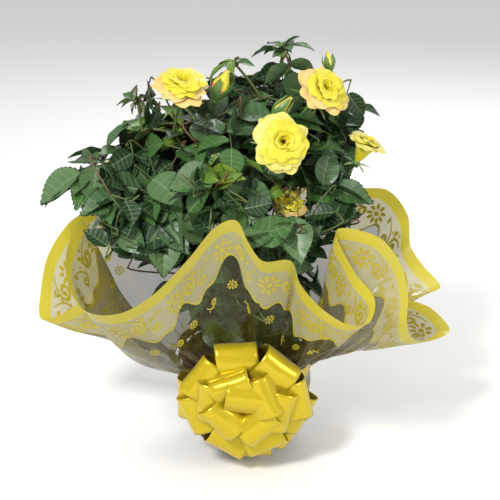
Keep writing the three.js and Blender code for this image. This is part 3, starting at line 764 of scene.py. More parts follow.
class Print:
    """Yellow ornament drawn flat, in millimetres, and laid on both sides of the film."""

    LIFT = 0.25  # how far the print stands off the film's middle surface
    DAISY = {"heart": 2.3, "reach": 6.3, "petal": 1.5, "stretch": 1.9}

    def __init__(self, film):
        self.film = film
        self.soup = Soup()

    def lay(self, flat, centre, faces, turn, scale=1.0):
        """Places flat points (x along the edge, y inwards) round centre = (s, d)."""
        s0, d0 = centre
        flat = np.asarray(flat, float) * scale
        x = flat[:, 0] * math.cos(turn) - flat[:, 1] * math.sin(turn)
        y = flat[:, 0] * math.sin(turn) + flat[:, 1] * math.cos(turn)
        drawn = self.film.gathered(s0, d0)
        points, normals = self.film.at(s0 + x / drawn, d0 + y)
        for lift in (self.LIFT, -self.LIFT):
            self.soup.add(points + normals * lift, faces, "film_print")

    def stroke(self, line, widths, centre, turn):
        """A line whose width changes along it."""
        line = np.asarray(line, float)
        ahead = np.gradient(line, axis=0)
        ahead /= np.maximum(np.linalg.norm(ahead, axis=1), 1e-9)[:, None]
        side = np.stack([-ahead[:, 1], ahead[:, 0]], axis=-1) * np.asarray(widths, float)[:, None] / 2
        flat = np.stack([line - side, line + side], axis=1).reshape(-1, 2)
        self.lay(flat, centre, grid_faces(len(line), 2), turn)

    def disc(self, middle, radius, centre, turn, scale=1.0, stretch=1.0, lean=0.0):
        """A dot, or a petal when it is stretched, round middle."""
        sides = 10
        angles = circle(sides)
        ring = np.stack([radius * stretch * np.cos(angles), radius * np.sin(angles)], axis=-1)
        leaned = ring @ np.array([[math.cos(lean), math.sin(lean)], [-math.sin(lean), math.cos(lean)]])
        flat = np.concatenate([[[0, 0]], leaned]) + middle
        faces = [(0, 1 + k, 1 + (k + 1) % sides) for k in range(sides)]
        self.lay(flat, centre, faces, turn, scale)

    def daisy(self, centre, scale, petals, turn):
        """A flower of narrow petals round a dot."""
        daisy = self.DAISY
        self.disc((0, 0), daisy["heart"], centre, turn, scale)
        for angle in (TAU * k / petals for k in range(petals)):
            middle = (daisy["reach"] * math.cos(angle), daisy["reach"] * math.sin(angle))
            self.disc(middle, daisy["petal"], centre, turn, scale, daisy["stretch"], angle)

    def curl(self, centre, size, turns, turn, hand, tail):
        """A spiral that ends in a dot, with a tail that sweeps away and small leaves along it."""
        t = np.linspace(0, 1, 34)
        angle = hand * TAU * turns * (1 - t)
        radius = size * mix(0.22, 1.0, t)
        spiral = np.stack([radius * np.cos(angle), radius * np.sin(angle)], axis=-1)
        start = spiral[-1]
        bend = (start[0], start[1] - hand * tail * 0.6, 0)
        end = (start[0] - tail, start[1] - hand * tail, 0)
        sweep = bezier((*start, 0), bend, end, 12)
        line = np.concatenate([spiral, sweep[1:, :2]])
        widths = (1.0 + 0.33 * size) * np.sin(np.linspace(0.5, math.pi - 0.15, len(line))) ** 0.7
        self.stroke(line, widths, centre, turn)
        dot = size / 6.5
        self.disc(spiral[0], 1.9 * dot, centre, turn)
        for k, share in enumerate((0.3, 0.6, 0.9)):
            at = line[int((len(line) - 1) * (0.45 + 0.5 * share))]
            beside = at + dot * np.array([2.4, -2.6 * hand])
            self.disc(beside, dot, centre, turn, stretch=1.8, lean=0.6 + k)

    def frost_line(self):
        """The yellow line that edges the frosted band."""
        s = np.linspace(0, self.film.around, 1400)
        depth = np.interp(s, self.film.edge_at, np.append(self.film.depth, self.film.depth[0]))
        d = self.film.frost_end(s, depth)
        width = 0.8 + 0.6 * np.sin(TAU * s / MOTIF_STEP * 1.5 + 0.6) ** 2
        rails = [self.film.at(s, d - width), self.film.at(s, d + width)]
        for lift in (self.LIFT, -self.LIFT):
            flat = np.stack([points + normals * lift for points, normals in rails], axis=1)
            self.soup.add(flat.reshape(-1, 3), grid_faces(len(s), 2), "film_print")

    def draw_all(self):
        """Repeats the ornament along the edge: a large row, and a sparse one of small marks."""
        draw = random.Random(11)
        units = round(self.film.around / MOTIF_STEP)
        for s in (k * (self.film.around / units) for k in range(units)):
            self.daisy((s + 8, BORDER + 13.5), 1.15, draw.choice((8, 9)), draw.uniform(0, 1))
            self.curl((s + 27, BORDER + 14), 7.2, 1.15, draw.uniform(-0.3, 0.3), 1, 13)
            turn = math.pi + draw.uniform(-0.4, 0.2)
            self.curl((s + 45, BORDER + 21), 5.0, 1.0, turn, -1, 15)
            self.disc((0, 0), 1.7, (s + 37, BORDER + 6), draw.uniform(0, 3), stretch=2.2)
            self.disc((0, 0), 1.4, (s + 55, BORDER + 8), draw.uniform(0, 3), stretch=2.4)
            spot = (s + 18 + draw.uniform(-8, 8), BORDER + FROST + 21)
            self.daisy(spot, 0.55, 9, draw.uniform(0, 1))
            spot = (s + 50 + draw.uniform(-6, 6), BORDER + FROST + 24)
            self.curl(spot, 3.6, 1.0, draw.uniform(0, 6), draw.choice((-1, 1)), 9)
        self.frost_line()
        self.soup.piece("film_ornament", "film")


def film_skirt():
    """The film below the tie, pleated round the basket with an uneven hem."""
    bottom, top = box_mm("wrap_skirt")[0], NECK["height"]
    tie = basket_radius(TIE_HEIGHT, basket_size()) + 1.0
    soup = Soup()
    sides, rows, border_rows = 560, 24, 5
    angles = circle(sides)
    hem = bottom + 1.5 + 3.0 * (1 + np.sin(9 * angles + 2)) * 0.5 + 1.5 * np.sin(23 * angles) ** 2
    shares = np.linspace(0, 1, rows)[:, None]
    height = mix(hem[None, :], top, shares)
    levels = [bottom, 0.5 * (bottom + TIE_HEIGHT), TIE_HEIGHT, top]
    base = np.interp(height, levels, [59.0, 60.0, tie, 62.0])
    pleat = 0.6 * np.sin(PLEATS[0] * angles) + 0.5 * np.sin(PLEATS[1] * angles + 1)
    pleat = pleat + 0.9 * np.sin(7 * angles + 3 * shares)
    waist = np.exp(-(((height - TIE_HEIGHT) / 6.0) ** 2))
    radius = base + pleat * mix(1.0, 0.3, waist)
    points = round_points(radius, angles, height).reshape(-1, 3)
    faces = grid_faces(rows, sides, closed=True)
    border = border_rows * sides
    soup.add_parts(points, [(faces[:border], "film_print"), (faces[border:], "film_clear")])
    soup.piece("film_skirt", "film", ["wrap_skirt"])


# ---- Ribbon ---------------------------------------------------------------------------------
def tie_ribbon():
    """The creased ribbon round the neck."""
    bottom, top, radius = box_mm("tie_ribbon")
    soup = Soup()
    sides, rows = 360, 9
    angles = circle(sides)
    shares = np.linspace(0, 1, rows)[:, None]
    height = mix(bottom, top, shares) + 0.5 * np.sin(3 * angles)
    crease = 0.25 * np.sin(TAU * 3 * shares + 0.4 * np.sin(5 * angles))
    crease = crease + 0.35 * np.sin(PLEATS[0] * angles) ** 2
    points = round_points(radius + 0.6 + crease, angles, height)
    soup.add(points.reshape(-1, 3), grid_faces(rows, sides, closed=True), "satin")
    soup.piece("satin_tie", "ribbon", ["tie_ribbon"])


def bow_loop(soup, clock, tilt, reach, draw):
    """One loop of ribbon: out from the knot, round, and back, pinched at the knot."""
    angle = math.radians(clock)
    lean = math.radians(tilt)
    radial = np.array([math.cos(angle), 0, math.sin(angle)])
    along = radial * math.cos(lean) + np.array([0, -1, 0]) * math.sin(lean)
    side = np.array([-math.sin(angle), 0, math.cos(angle)])
    side = turned(side, along, draw.uniform(-0.16, 0.16))
    depth = np.cross(along, side)
    rows, lanes = BOW_GRID["rows"], BOW_GRID["lanes"]
    t = np.linspace(0.015, 0.985, rows)
    out = reach * ((1 - np.cos(TAU * t)) / 2) ** 0.85
    share = out / reach
    height = 0.60 * BOW["depth"] * np.sin(TAU * t) * mix(0.45, 1.0, smooth(share * 1.3))
    bulge = 1 + 0.1 * draw.uniform(-1, 1)
    width = BOW["width"] / 2 * mix(0.35, 1.0, smooth(share / 0.55))
    q = np.linspace(-1, 1, lanes)
    t, out, share, height, width = (a[:, None] for a in (t, out, share, height, width))
    cup = 2.6 * (1 - smooth(share / 0.6)) * (q**2) * np.sign(height)
    wave = 0.5 * np.sin(3.1 * q + 5 * t) * share
    wave = wave + 0.16 * np.sin(TAU * 13 * t + draw.uniform(0, TAU) + 0.4 * q) * share
    slant = draw.uniform(-3, 3) * q * share**2
    points = (
        np.array(BOW["knot"], float)
        + along * (out + slant)[:, :, None]
        + depth * (height * bulge - cup + wave)[:, :, None]
        + side * (width * q)[:, :, None]
    )
    soup.add(points.reshape(-1, 3), grid_faces(rows, lanes), "satin")


def ribbon_bow():
    """All the loops, and short twists of ribbon over the knot."""
    draw = random.Random(5)
    soup = Soup()
    for clock, tilt, reach in BOW_LOOPS + BOW_FILLERS:
        bow_loop(soup, clock, tilt, reach, draw)
    knot = np.array(BOW["knot"], float)
    for turn in circle(KNOT_TWISTS["count"]):
        start = knot + (5 * math.cos(turn), -3, 5 * math.sin(turn))
        end = knot + (9 * math.cos(turn + 2.4), -12, 9 * math.sin(turn + 2.4))
        line = bezier(start, knot + (0, -22, 0), end, KNOT_TWISTS["rows"])
        add_strip(soup, line, KNOT_TWISTS["width"], "satin")
    made = soup.piece("satin_bow", "ribbon", ["ribbon_bow"])
    shell = made.modifiers.new("ribbon", "SOLIDIFY")
    shell.thickness = BOW["thickness"] * MM
    shell.offset = 0


def add_strip(soup, line, width, look):
    """A flat strip of ribbon along a line."""
    _, normals, _ = frames_along(line)
    q = np.linspace(-0.5, 0.5, 6)
    points = np.asarray(line)[:, None] + normals[:, None] * (width * q)[None, :, None]
    soup.add(points.reshape(-1, 3), grid_faces(len(line), len(q)), look)


# ---- Leaves ---------------------------------------------------------------------------------
class Leaflet:
    """One toothed leaflet of unit length: base at the origin, tip on +X, upper face to +Z."""

    VEINS = 7  # side veins of each half
    SHEAR = 0.16  # how far the veins sweep forward by the edge
    COLUMNS = (0.0, 0.5, 1.0)  # from the midrib to the edge
    VEIN_HALF = 0.0075
    LEAST_TOOTH = 0.02

    def __init__(self, draw, width, fold, curl):
        self.width = width
        self.fold = fold * draw.uniform(0.7, 1.3)
        self.curl = curl * draw.uniform(0.4, 1.6)
        self.wave = draw.uniform(0.008, 0.022)
        self.phase = draw.uniform(0, TAU)
        self.twist = draw.uniform(-0.25, 0.25)
        self.bend = draw.uniform(-0.06, 0.06)
        self.build()

    def outline(self, x):
        """Half the width of the leaflet at x."""
        body = np.sin(math.pi * np.clip(x, 0, 1) ** 0.84)
        return self.width * np.maximum(body, 0) ** (0.66 + 0.50 * x)

    def raise_point(self, x, y, pillow):
        """Folds, curls, waves and twists flat points."""
        far = np.abs(y) / self.width
        z = self.fold * np.abs(y) - self.curl * (x - 0.15) ** 2 + pillow
        z = z + self.wave * far**2 * np.sin(TAU * 2.2 * x + self.phase + np.sign(y))
        z = z + self.twist * y * x
        return np.stack([x, y + self.bend * np.sin(math.pi * x), z], axis=-1)

    def build(self):
        """Rows of points from base to tip: two beside each vein, and one between two veins."""
        rows = [(-self.SHEAR, 0.0)]
        kinds = []
        first, last = -0.09, 0.90
        for k in range(self.VEINS):
            centre = mix(first, last, k / (self.VEINS - 1))
            rows += [(centre, -1.0), (centre, 1.0)]
            kinds += ["blade", "vein"]
            if k < self.VEINS - 1:
                rows.append((centre + (last - first) / (self.VEINS - 1) / 2, 0.0))
                kinds.append("blade")
        rows.append((1.0, 0.0))
        kinds.append("blade")
        middle, beside = np.array(rows).T[:, :, None]
        u = np.array(self.COLUMNS)[None, :]
        sweep = self.SHEAR * u * (1 - 0.6 * middle)
        x = np.clip(middle + beside * self.VEIN_HALF * (1 - 0.6 * u) + sweep, 0, 1)
        rib = 0.013 * (1 - x) + 0.003
        wide = np.maximum(self.outline(x), rib)
        flat = rib + u * (wide - rib)
        soft = np.where(beside == 0, 1.0, 0.0)
        pillow = 0.013 * soft * np.sin(math.pi * u) - 0.006 * (u == 0)
        self.vertices = []
        self.parts = {"blade": [], "vein": [], "under": [], "edge": []}
        count = len(rows)
        columns = len(self.COLUMNS)
        starts = {}
        for side in (1, -1):
            starts[side] = len(self.vertices)
            self.vertices += self.raise_point(x, side * flat, pillow).reshape(-1, 3).tolist()
            for r in range(count - 1):
                for c in range(columns - 1):
                    a = starts[side] + r * columns + c
                    self.quad(kinds[r], a, a + columns, a + columns + 1, a + 1, side)
                if kinds[r] == "blade":
                    self.tooth(starts[side] + r * columns + columns - 1, columns, side)
        for r in range(count - 1):
            a, b = starts[1] + r * columns, starts[-1] + r * columns
            self.quad("vein", b, b + columns, a + columns, a, 1)
        self.under(starts, x[:, 0], count, columns)
        self.vertices = np.array(self.vertices)
        for name, faces in self.parts.items():
            self.parts[name] = self.clean(np.array(faces))

    def quad(self, kind, a, b, c, d, side):
        """A four-sided face as two triangles, turned over on the leaflet's other half."""
        faces = [(a, b, c), (a, c, d)]
        if side < 0:
            faces = [f[::-1] for f in faces]
        self.parts[kind] += faces

    def tooth(self, a, columns, side):
        """A small forward tooth between two edge points."""
        p, q = np.array(self.vertices[a]), np.array(self.vertices[a + columns])
        gap = q - p
        width = np.linalg.norm(gap)
        if width < self.LEAST_TOOTH:
            return
        outward = np.array([gap[1], -gap[0], 0]) * (-side)
        tip = mix(p, q, 0.72) + unit(outward) * 0.30 * min(width, 0.11) + gap * 0.08
        self.vertices.append(tip.tolist())
        apex = len(self.vertices) - 1
        face = (a, a + columns, apex)
        self.parts["edge"].append(face if side < 0 else face[::-1])

    def under(self, starts, x, count, columns):
        """The lower face, with the midrib standing out of it."""
        rib = len(self.vertices)
        for r in range(count):
            base = np.array(self.vertices[starts[1] + r * columns])
            other = np.array(self.vertices[starts[-1] + r * columns])
            drop = (0, 0, 0.022 * (1 - 0.7 * x[r]))
            self.vertices.append((mix(base, other, 0.5) - drop).tolist())
        for side in (1, -1):
            edge = len(self.vertices)
            for r in range(count):
                spot = np.array(self.vertices[starts[side] + r * columns + columns - 1])
                self.vertices.append((spot - (0, 0, 0.005)).tolist())
            for r in range(count - 1):
                self.quad("under", rib + r, rib + r + 1, edge + r + 1, edge + r, -side)

    def clean(self, faces):
        """The faces that have some area."""
        if not len(faces):
            return faces.reshape(0, 3)
        a, b, c = (self.vertices[faces[:, k]] for k in range(3))
        area = np.linalg.norm(np.cross(b - a, c - a), axis=1)
        return faces[area > 2e-6]


# Kinds of leaflet: how many shapes, half the width, fold and curl.
LEAFLET_KINDS = {
    "mature": (10, (0.29, 0.35), 0.30, 0.20),
    "young": (6, (0.21, 0.27), 0.55, 0.30),
}


def make_templates():
    draw = random.Random(17)
    return {
        kind: [Leaflet(draw, draw.uniform(*width), fold, curl) for _ in range(count)]
        for kind, (count, width, fold, curl) in LEAFLET_KINDS.items()
    }


TEMPLATES = make_templates()
BACK_FROM = 40  # y from which leaves belong to the piece at the back
LEFT_TO = -24  # x up to which the others belong to the left one


def side_of(place):
    """Which joined piece of leaves a place belongs to."""
    if place[1] > BACK_FROM:
        return "back"
    return "left" if place[0] < LEFT_TO else "right"


class Crown:
    """Gathers leaves and twigs by region, and keeps what has grown so far."""

    def __init__(self, film):
        self.leaves = {}
        self.twigs = Soup()
        self.skeleton = np.empty((0, 3))  # points on the wood that twigs can start from
        self.thickness = np.empty(0)
        self.film_room = film_room(film)
        self.masses = nodes_named("foliage_")
        self.tree = crown_tree(self.masses)
        self.flowers = []
        for name in (*BLOOM_STYLES, *BUD_STYLES):
            seat, axis, radius, height = flower_frame(name)
            shown = 0.55 if name == "bloom_low" else 0.95  # the low bloom is half hidden by leaves
            self.flowers.append((seat + axis * height * 0.55, radius * shown))

    def region(self, place):
        """The soup that holds the leaves round a place."""
        name = side_of(place)
        if name not in self.leaves:
            self.leaves[name] = Soup()
        return self.leaves[name]

    def hits_film(self, points):
        """Whether any point lies outside the film below its free edge."""
        level = ((points[:, 2] - NECK["height"]) / ROOM_STEP).astype(int)
        room = self.film_room[azimuths(points), np.clip(level, 0, ROOM_LEVELS - 1)]
        radius = np.hypot(points[:, 0], points[:, 1])
        return bool(np.any(radius > room - FILM_GAP))

    def hides_flower(self, points):
        """Whether any point is in a flower, or close in front of one."""
        for middle, radius in self.flowers:
            away = points - middle
            ahead = np.clip(away @ FLOWER_VIEW, 0, FLOWER_ROOM)
            if np.any(np.linalg.norm(away - ahead[:, None] * FLOWER_VIEW, axis=1) < radius):
                return True
        return False

    def strays(self, point):
        """How far a point lies outside every leaf mass, in millimetres."""
        place, normal, _, distance = self.tree.find_nearest(Vector(point))
        outside = (Vector(point) - place).dot(normal) > 0
        return distance if outside else 0.0

    def add_leaflet(self, soup, base, axis, normal, length, look, leash=None):
        """Adds one leaflet, unless it meets the film or a flower or strays by over `leash`."""
        young = look in YOUNG_LOOKS
        template = rng.choice(TEMPLATES["young" if young else "mature"])
        axis = unit(axis)
        normal = across(normal, axis)
        if leash is not None:
            for share in (0.45, 1.0):
                if self.strays(base + axis * length * share) > leash:
                    return False
        turn = np.stack([axis, np.cross(normal, axis), normal], axis=-1)
        points = np.asarray(base) + (template.vertices * length) @ turn.T
        if self.hits_film(points) or self.hides_flower(points):
            return False
        age = "_young" if young else ""
        parts = [
            (template.parts["blade"], "leaf_" + look),
            (template.parts["vein"], "leaf_vein" + age),
            (template.parts["under"], "leaf_under" + age),
            (template.parts["edge"], "leaf_edge_red" if young else "leaf_" + look),
        ]
        soup.add_parts(points, parts)
        return True

    def grow_skeleton(self, points, thickness):
        """Adds points of wood of one radius."""
        self.skeleton = np.concatenate([self.skeleton, points])
        self.thickness = np.concatenate([self.thickness, np.full(len(points), thickness)])

    def twig_to(self, end, direction, radius=0.8, look="twig"):
        """A twig from the nearest wood to end, arriving along direction."""
        away = np.linalg.norm(self.skeleton - end, axis=1)
        above = np.maximum(0, self.skeleton[:, 2] - end[2])
        reach = np.hypot(self.skeleton[:, 0], self.skeleton[:, 1])
        outside = np.maximum(0, reach - math.hypot(end[0], end[1]))
        nearest = int(np.argmin(away + 1.2 * above + 0.8 * outside))
        start = self.skeleton[nearest]
        reach = np.linalg.norm(end - start)
        if reach < 2:
            return
        count = max(5, int(reach / 6))
        arrival = end - unit(direction) * min(reach * 0.45, 11.0)
        bent = mix(arrival, mix(start, end, 0.55), 0.5)
        line = bezier(start, bent, end, count)
        foot = min(self.thickness[nearest] * 0.75, radius * 1.7)
        add_tube(self.twigs, line, np.linspace(max(foot, radius), radius, count), 6, look)
        self.grow_skeleton(line[count // 3 :], radius)

    def compound_leaf(
        self, soup, tip, axis, normal, size, pairs, look, attach=True, leash=None, tied=False
    ):
        """A rose leaf: leaflets in pairs on a stalk, and one at its end whose tip is at `tip`.

        With `tied`, the leaf isn't made if its stalk starts further than LEASH from every mass.
        Returns whether the leaf was made.
        """
        axis = unit(axis)
        normal = across(normal, axis)
        droop = unit(axis - 0.25 * normal)
        end = np.asarray(tip, float) - droop * size * STALK["blade"]
        gap = size * STALK["gap"]
        stalk = gap * pairs + size * STALK["end"]
        start = end - axis * stalk
        line = bezier(start, mix(start, end, 0.5) + normal * stalk * 0.10, end, 4 + 3 * pairs)
        if tied and self.strays(start) > LEASH:
            return False
        if not self.add_leaflet(soup, end, droop, normal, size, look, leash):
            return False
        twig_look = "twig_red" if look in YOUNG_LOOKS or rng.random() < 0.25 else "twig"
        add_tube(self.twigs, line, np.linspace(0.75, 0.45, len(line)), 5, twig_look)
        side = np.cross(normal, axis)
        for pair in range(pairs):
            place = 1 - (gap * (pair + 1) * 0.92) / stalk
            foot = line[int(round(place * (len(line) - 1)))]
            for hand in (1, -1):
                spread = math.radians(rng.uniform(52, 70)) + 0.06 * pair
                leaf_axis = axis * math.cos(spread) + side * hand * math.sin(spread)
                leaf_axis = unit(leaf_axis - normal * rng.uniform(0.0, 0.28))
                leaf_normal = turned(normal, axis, hand * rng.uniform(-0.35, 0.15))
                length = size * rng.uniform(0.78, 0.92) * (1 - 0.12 * pair)
                base = foot + leaf_axis * 1.5
                self.add_leaflet(soup, base, leaf_axis, leaf_normal, length, look, leash)
        if attach:
            self.twig_to(start, axis, 0.8, twig_look)
        return True


def film_room(film):
    """The smallest radius of the film by whole degree and by step of height over the neck."""
    room = np.full((360, ROOM_LEVELS), 1e6)
    points = film.table.reshape(-1, 3)
    level = ((points[:, 2] - NECK["height"]) / ROOM_STEP).astype(int)
    radius = np.hypot(points[:, 0], points[:, 1])
    inside = (level >= 0) & (level < ROOM_LEVELS)
    np.minimum.at(room, (azimuths(points)[inside], level[inside]), radius[inside])
    return np.minimum(room, np.minimum(np.roll(room, 1, axis=0), np.roll(room, -1, axis=0)))


# Shares of leaf looks, by palette, and the palette of each leaf mass that isn't "usual".
PALETTES = {
    "usual": ["dark"] * 4 + ["deep"] * 3 + ["grey"] * 4 + ["pale"] * 2 + ["mid"] * 3,
    "front": ["dark"] * 3 + ["grey"] * 4 + ["pale"] * 3 + ["mid"] * 3
    + ["deep"] * 2 + ["fresh"] * 2,
    "top": ["mid"] * 4 + ["grey"] * 3 + ["dark"] * 3 + ["fresh"] * 2 + ["pale"],
    # The low palette leans to the deep look, which is partly painted shade.
    "low": ["deep"] * 3 + ["dark"] * 4 + ["mid"] * 3,
}
MASS_PALETTE = {
    "foliage_front": "front", "foliage_low_front": "low", "foliage_upper": "top",
    "foliage_upper_right": "top", "foliage_upper_left": "front", "foliage_back_top": "top",
    "foliage_heart": "low",
}
SMALLER_LEAVES = {"foliage_low_front": 0.72}  # masses of smaller leaves, and how much smaller
LEAF_SPACING = 23.0
LEAFLET_SIZE = (32.0, 43.0)
INNER_LEAVES = 6  # leaves in the middle of each mass
INNER_REACH = 14
INNER_SIZE = 30
COVER = 40  # a place is covered if another mass lies this near in front of it
COVERED_LEAVES = 0.25  # share of the leaves that grow at covered places
# A compound leaf's stalk, as shares of its end leaflet: between pairs, and below the last pair;
# and the share of that leaflet that stands past the stalk.
STALK = {"gap": 0.40, "end": 0.35, "blade": 0.97}
TRIES = 8  # turns that are tried for a leaf before it is left out
TIP_ANGLE = 32  # a tip is compared with the corners within this many degrees of it
TIP_SHARE = 1.22  # and stands out by this much of their reach
FLOWER_VIEW = unit((0, -1, 0.3))  # leaves keep clear of the flowers on this side
FLOWER_ROOM = 45.0  # and over this distance
LEASH = 7.0  # how far a leaf may stand out of its mass, in millimetres


def pick_spread(points, first, draw):
    """Indices of points at least LEAF_SPACING apart, the `first` ones always kept."""
    kept = list(first)
    order = list(range(len(points)))
    draw.shuffle(order)
    for i in order:
        if all(np.linalg.norm(points[i] - points[k]) >= LEAF_SPACING for k in kept):
            kept.append(i)
    return kept


def sharp_tips(points, middle):
    """Indices of points that stand out of their neighbourhood: the drawn-out leaf tips."""
    reach = np.linalg.norm(points - middle, axis=1)
    directions = (points - middle) / reach[:, None]
    tips = []
    for i, direction in enumerate(directions):
        near = directions @ direction > math.cos(math.radians(TIP_ANGLE))
        near[i] = False
        if not near.any():
            continue
        if reach[i] > TIP_SHARE * np.median(reach[near]) and reach[i] >= reach[near].max():
            tips.append(i)
    return tips


def crown_tree(names):
    """One search tree of all the leaf masses, to tell outer places from inner ones."""
    vertices, faces = [], []
    for name in names:
        points, triangles = node_triangles(name)
        faces += (triangles + len(vertices)).tolist()
        vertices += points.tolist()
    return BVHTree.FromPolygons(vertices, faces)


# Large leaves that mark the outline: the mass, the way the leaf points, which way its face
# looks, the length of its end leaflet in millimetres, pairs of leaflets and look.
HEROES = [
    ("foliage_left", (-1, -0.15, -0.25), (-0.1, -0.45, 1), 46, 1, "pale"),
    ("foliage_left", (-1, 0.1, 0.5), (0, -0.35, 1), 38, 1, "mid"),
    ("foliage_low_left", (-0.7, -0.7, -0.5), (-0.2, -0.9, 0.7), 42, 1, "grey"),
    ("foliage_low_left", (-0.2, -0.6, -0.8), (0, -1, 0.6), 42, 2, "pale"),
    ("foliage_front_left", (-0.3, -0.8, -0.6), (0, -1, 0.8), 44, 1, "pale"),
    ("foliage_front_left", (0.5, -0.8, -0.3), (0.2, -1, 0.6), 40, 1, "grey"),
    ("foliage_front", (-0.7, -0.7, 0.0), (0, -1, 0.7), 46, 1, "pale"),
    ("foliage_front", (-0.4, -0.8, 0.5), (0, -0.8, 1), 40, 1, "mid"),
    ("foliage_front", (0.4, -0.9, 0.1), (0, -1, 0.5), 36, 2, "lime"),
    ("foliage_front", (0.6, -0.6, 0.6), (0.2, -1, 0.5), 32, 1, "fresh"),
    ("foliage_front_right", (0.3, -0.9, -0.4), (0, -0.9, 0.9), 44, 1, "pale"),
    ("foliage_front_right", (-0.6, -0.8, -0.2), (0, -0.9, 0.9), 42, 1, "grey"),
    ("foliage_low_right", (0.9, -0.6, 0.1), (0, -0.8, 1), 42, 1, "grey"),
    ("foliage_low_right", (0.2, -0.9, -0.4), (0, -1, 0.6), 38, 1, "mid"),
    ("foliage_right", (0.0, -0.9, 0.5), (0.1, -0.9, 0.6), 36, 1, "bronze"),
    ("foliage_right", (0.2, -0.9, -0.3), (0.1, -0.9, 0.8), 36, 1, "mid"),
    ("foliage_upper_left", (-0.8, -0.5, 0.2), (0, -0.8, 1), 36, 1, "fresh"),
]


def hero_leaves(crown):
    """The outline leaves, each reaching the corner of its mass that is furthest its way."""
    for name, way, face, size, pairs, look in HEROES:
        corners = node_points(name)
        tip = corners[np.argmax(corners @ unit(way))] + unit(way) * 3
        axis = unit(tip - corners.mean(axis=0)) + 0.4 * unit(way) - UP * 0.1
        crown.compound_leaf(crown.region(tip), tip, axis, face, size, pairs, look)


def grow_mass(crown, name, middle_of_crown):
    """Leaves all over a mass: one at each tip, few where another mass covers it, and some inside."""
    draw = random.Random(name)
    points, triangles = node_triangles(name)
    corners = node_points(name)
    middle = corners.mean(axis=0)
    tips = sharp_tips(corners, middle)
    spots = np.concatenate([corners, points, points[triangles].mean(axis=1)])
    chosen = pick_spread(spots, tips, draw)
    palette = PALETTES[MASS_PALETTE.get(name, "usual")]
    soup = crown.region(middle)
    for rank, i in enumerate(chosen):
        spot = spots[i]
        outward = unit(mix(unit(spot - middle), unit(spot - middle_of_crown), 0.4))
        is_tip = rank < len(tips)
        if not is_tip:
            start = Vector(spot + outward * 1.5)
            covered = crown.tree.ray_cast(start, Vector(outward), COVER)[0] is not None
            if covered and draw.random() > COVERED_LEAVES:
                continue
        around = across(random_unit() + (0, 0, -0.25), outward)
        axis = outward if is_tip else unit(outward * draw.uniform(0.25, 0.8) + around)
        face = outward * [1, 1, 0] + UP * max(outward[2], 0)
        normal = face * draw.uniform(0.6, 1.2) + UP * draw.uniform(0.3, 0.8) + random_unit() * 0.25
        size = draw.uniform(*LEAFLET_SIZE) * SMALLER_LEAVES.get(name, 1.0)
        pairs = draw.choice((1, 1, 1, 2, 2))
        look = draw.choice(palette)
        if look in YOUNG_LOOKS:
            size *= 0.85
        leash = None if is_tip else LEASH
        for attempt in range(TRIES):
            if crown.compound_leaf(
                soup, spot, axis, normal, size, pairs, look, leash=leash, tied=True
            ):
                break
            around = across(random_unit(), outward)
            axis = unit(outward * draw.uniform(0.2, 1.0) + around + UP * 0.1 * attempt)
            size *= 0.96
            spot = mix(spot, middle, 0.04)
    # Leaves in the middle of each mass take the deep look: painted shade inside the mass.
    for _ in range(INNER_LEAVES):
        spot = middle + random_unit() * INNER_REACH
        axis = random_unit()
        face = UP + random_unit() * 0.6
        crown.compound_leaf(soup, spot, axis, face, INNER_SIZE, 1, "deep")


# ---- Canes and stems ------------------------------------------------------------------------
CANE = {"foot": 2.5, "tip": 1.55, "look": "cane_bark", "sides": 14, "thorns": 9}
STEM = {"foot": 1.35, "tip": 1.05, "look": "twig", "sides": 10, "thorns": 2}
LIMB_ROWS = 70
JOINTS = np.arange(0.12, 1.0, 0.17)  # where leaf joints stand along a limb
THORN_RADII = np.array([0.42, 0.30, 0.19, 0.09, 0.02])


def limb_surface(soup, line, foot, tip, look, sides, thorns, draw):
    """A cane with ridged bark, swollen leaf joints and thorns."""
    points = catmull(line, np.linspace(0, len(line) - 1, LIMB_ROWS))
    share = np.linspace(0, 1, len(points))[:, None]
    angles = circle(sides)[None, :]
    radius = mix(foot, tip, share)
    joints = sum(np.exp(-(((share - place) / 0.010) ** 2)) for place in JOINTS)
    ridges = 0.045 * np.sin(5 * angles + 9 * share) + 0.025 * np.sin(9 * angles - 31 * share)
    flare = 0.35 * np.exp(-share / 0.03)
    add_tube(soup, points, radius * (1 + ridges + 0.16 * joints + flare), sides, look)
    _, normals, binormals = frames_along(points)
    for _ in range(thorns):
        i = draw.randrange(4, len(points) - 2)
        angle = draw.uniform(0, TAU)
        out = normals[i] * math.cos(angle) + binormals[i] * math.sin(angle)
        add_thorn(soup, points[i] + out * radius[i, 0] * 0.7, out, radius[i, 0] * 1.5)


def add_thorn(soup, foot, out, size):
    """A thorn that points out and hooks down."""
    tip = foot + out * size * 1.1 - UP * size * 0.5
    line = bezier(foot, foot + out * size * 0.7, tip, len(THORN_RADII))
    add_tube(soup, line, THORN_RADII * size, 6, "thorn")


def canes_and_stems(crown):
    """The canes and the flower stems, each stem joined to the nearest wood by a twig."""
    draw = random.Random(2)
    canes = {name: centreline(name, 6) for name in nodes_named("cane_")}
    stems = {name: centreline(name, 5) for name in nodes_named("stem_of_")}
    soup = Soup()
    for line in canes.values():
        limb_surface(soup, line, **CANE, draw=draw)
        dense = catmull(line, np.linspace(0, len(line) - 1, 40))
        crown.grow_skeleton(dense[22:], 1.4)  # twigs start on the upper part only
    soup.piece("bark_canes", "cane_bark", list(canes))
    soup = Soup()
    for line in stems.values():
        limb_surface(soup, line, **STEM, draw=draw)
    soup.piece("flower_stems", "cane_bark", list(stems))
    for line in stems.values():
        crown.twig_to(line[0], line[0] - line[1], 1.25)
        crown.grow_skeleton(catmull(line, np.linspace(0, len(line) - 1, 8))[:4], 1.1)


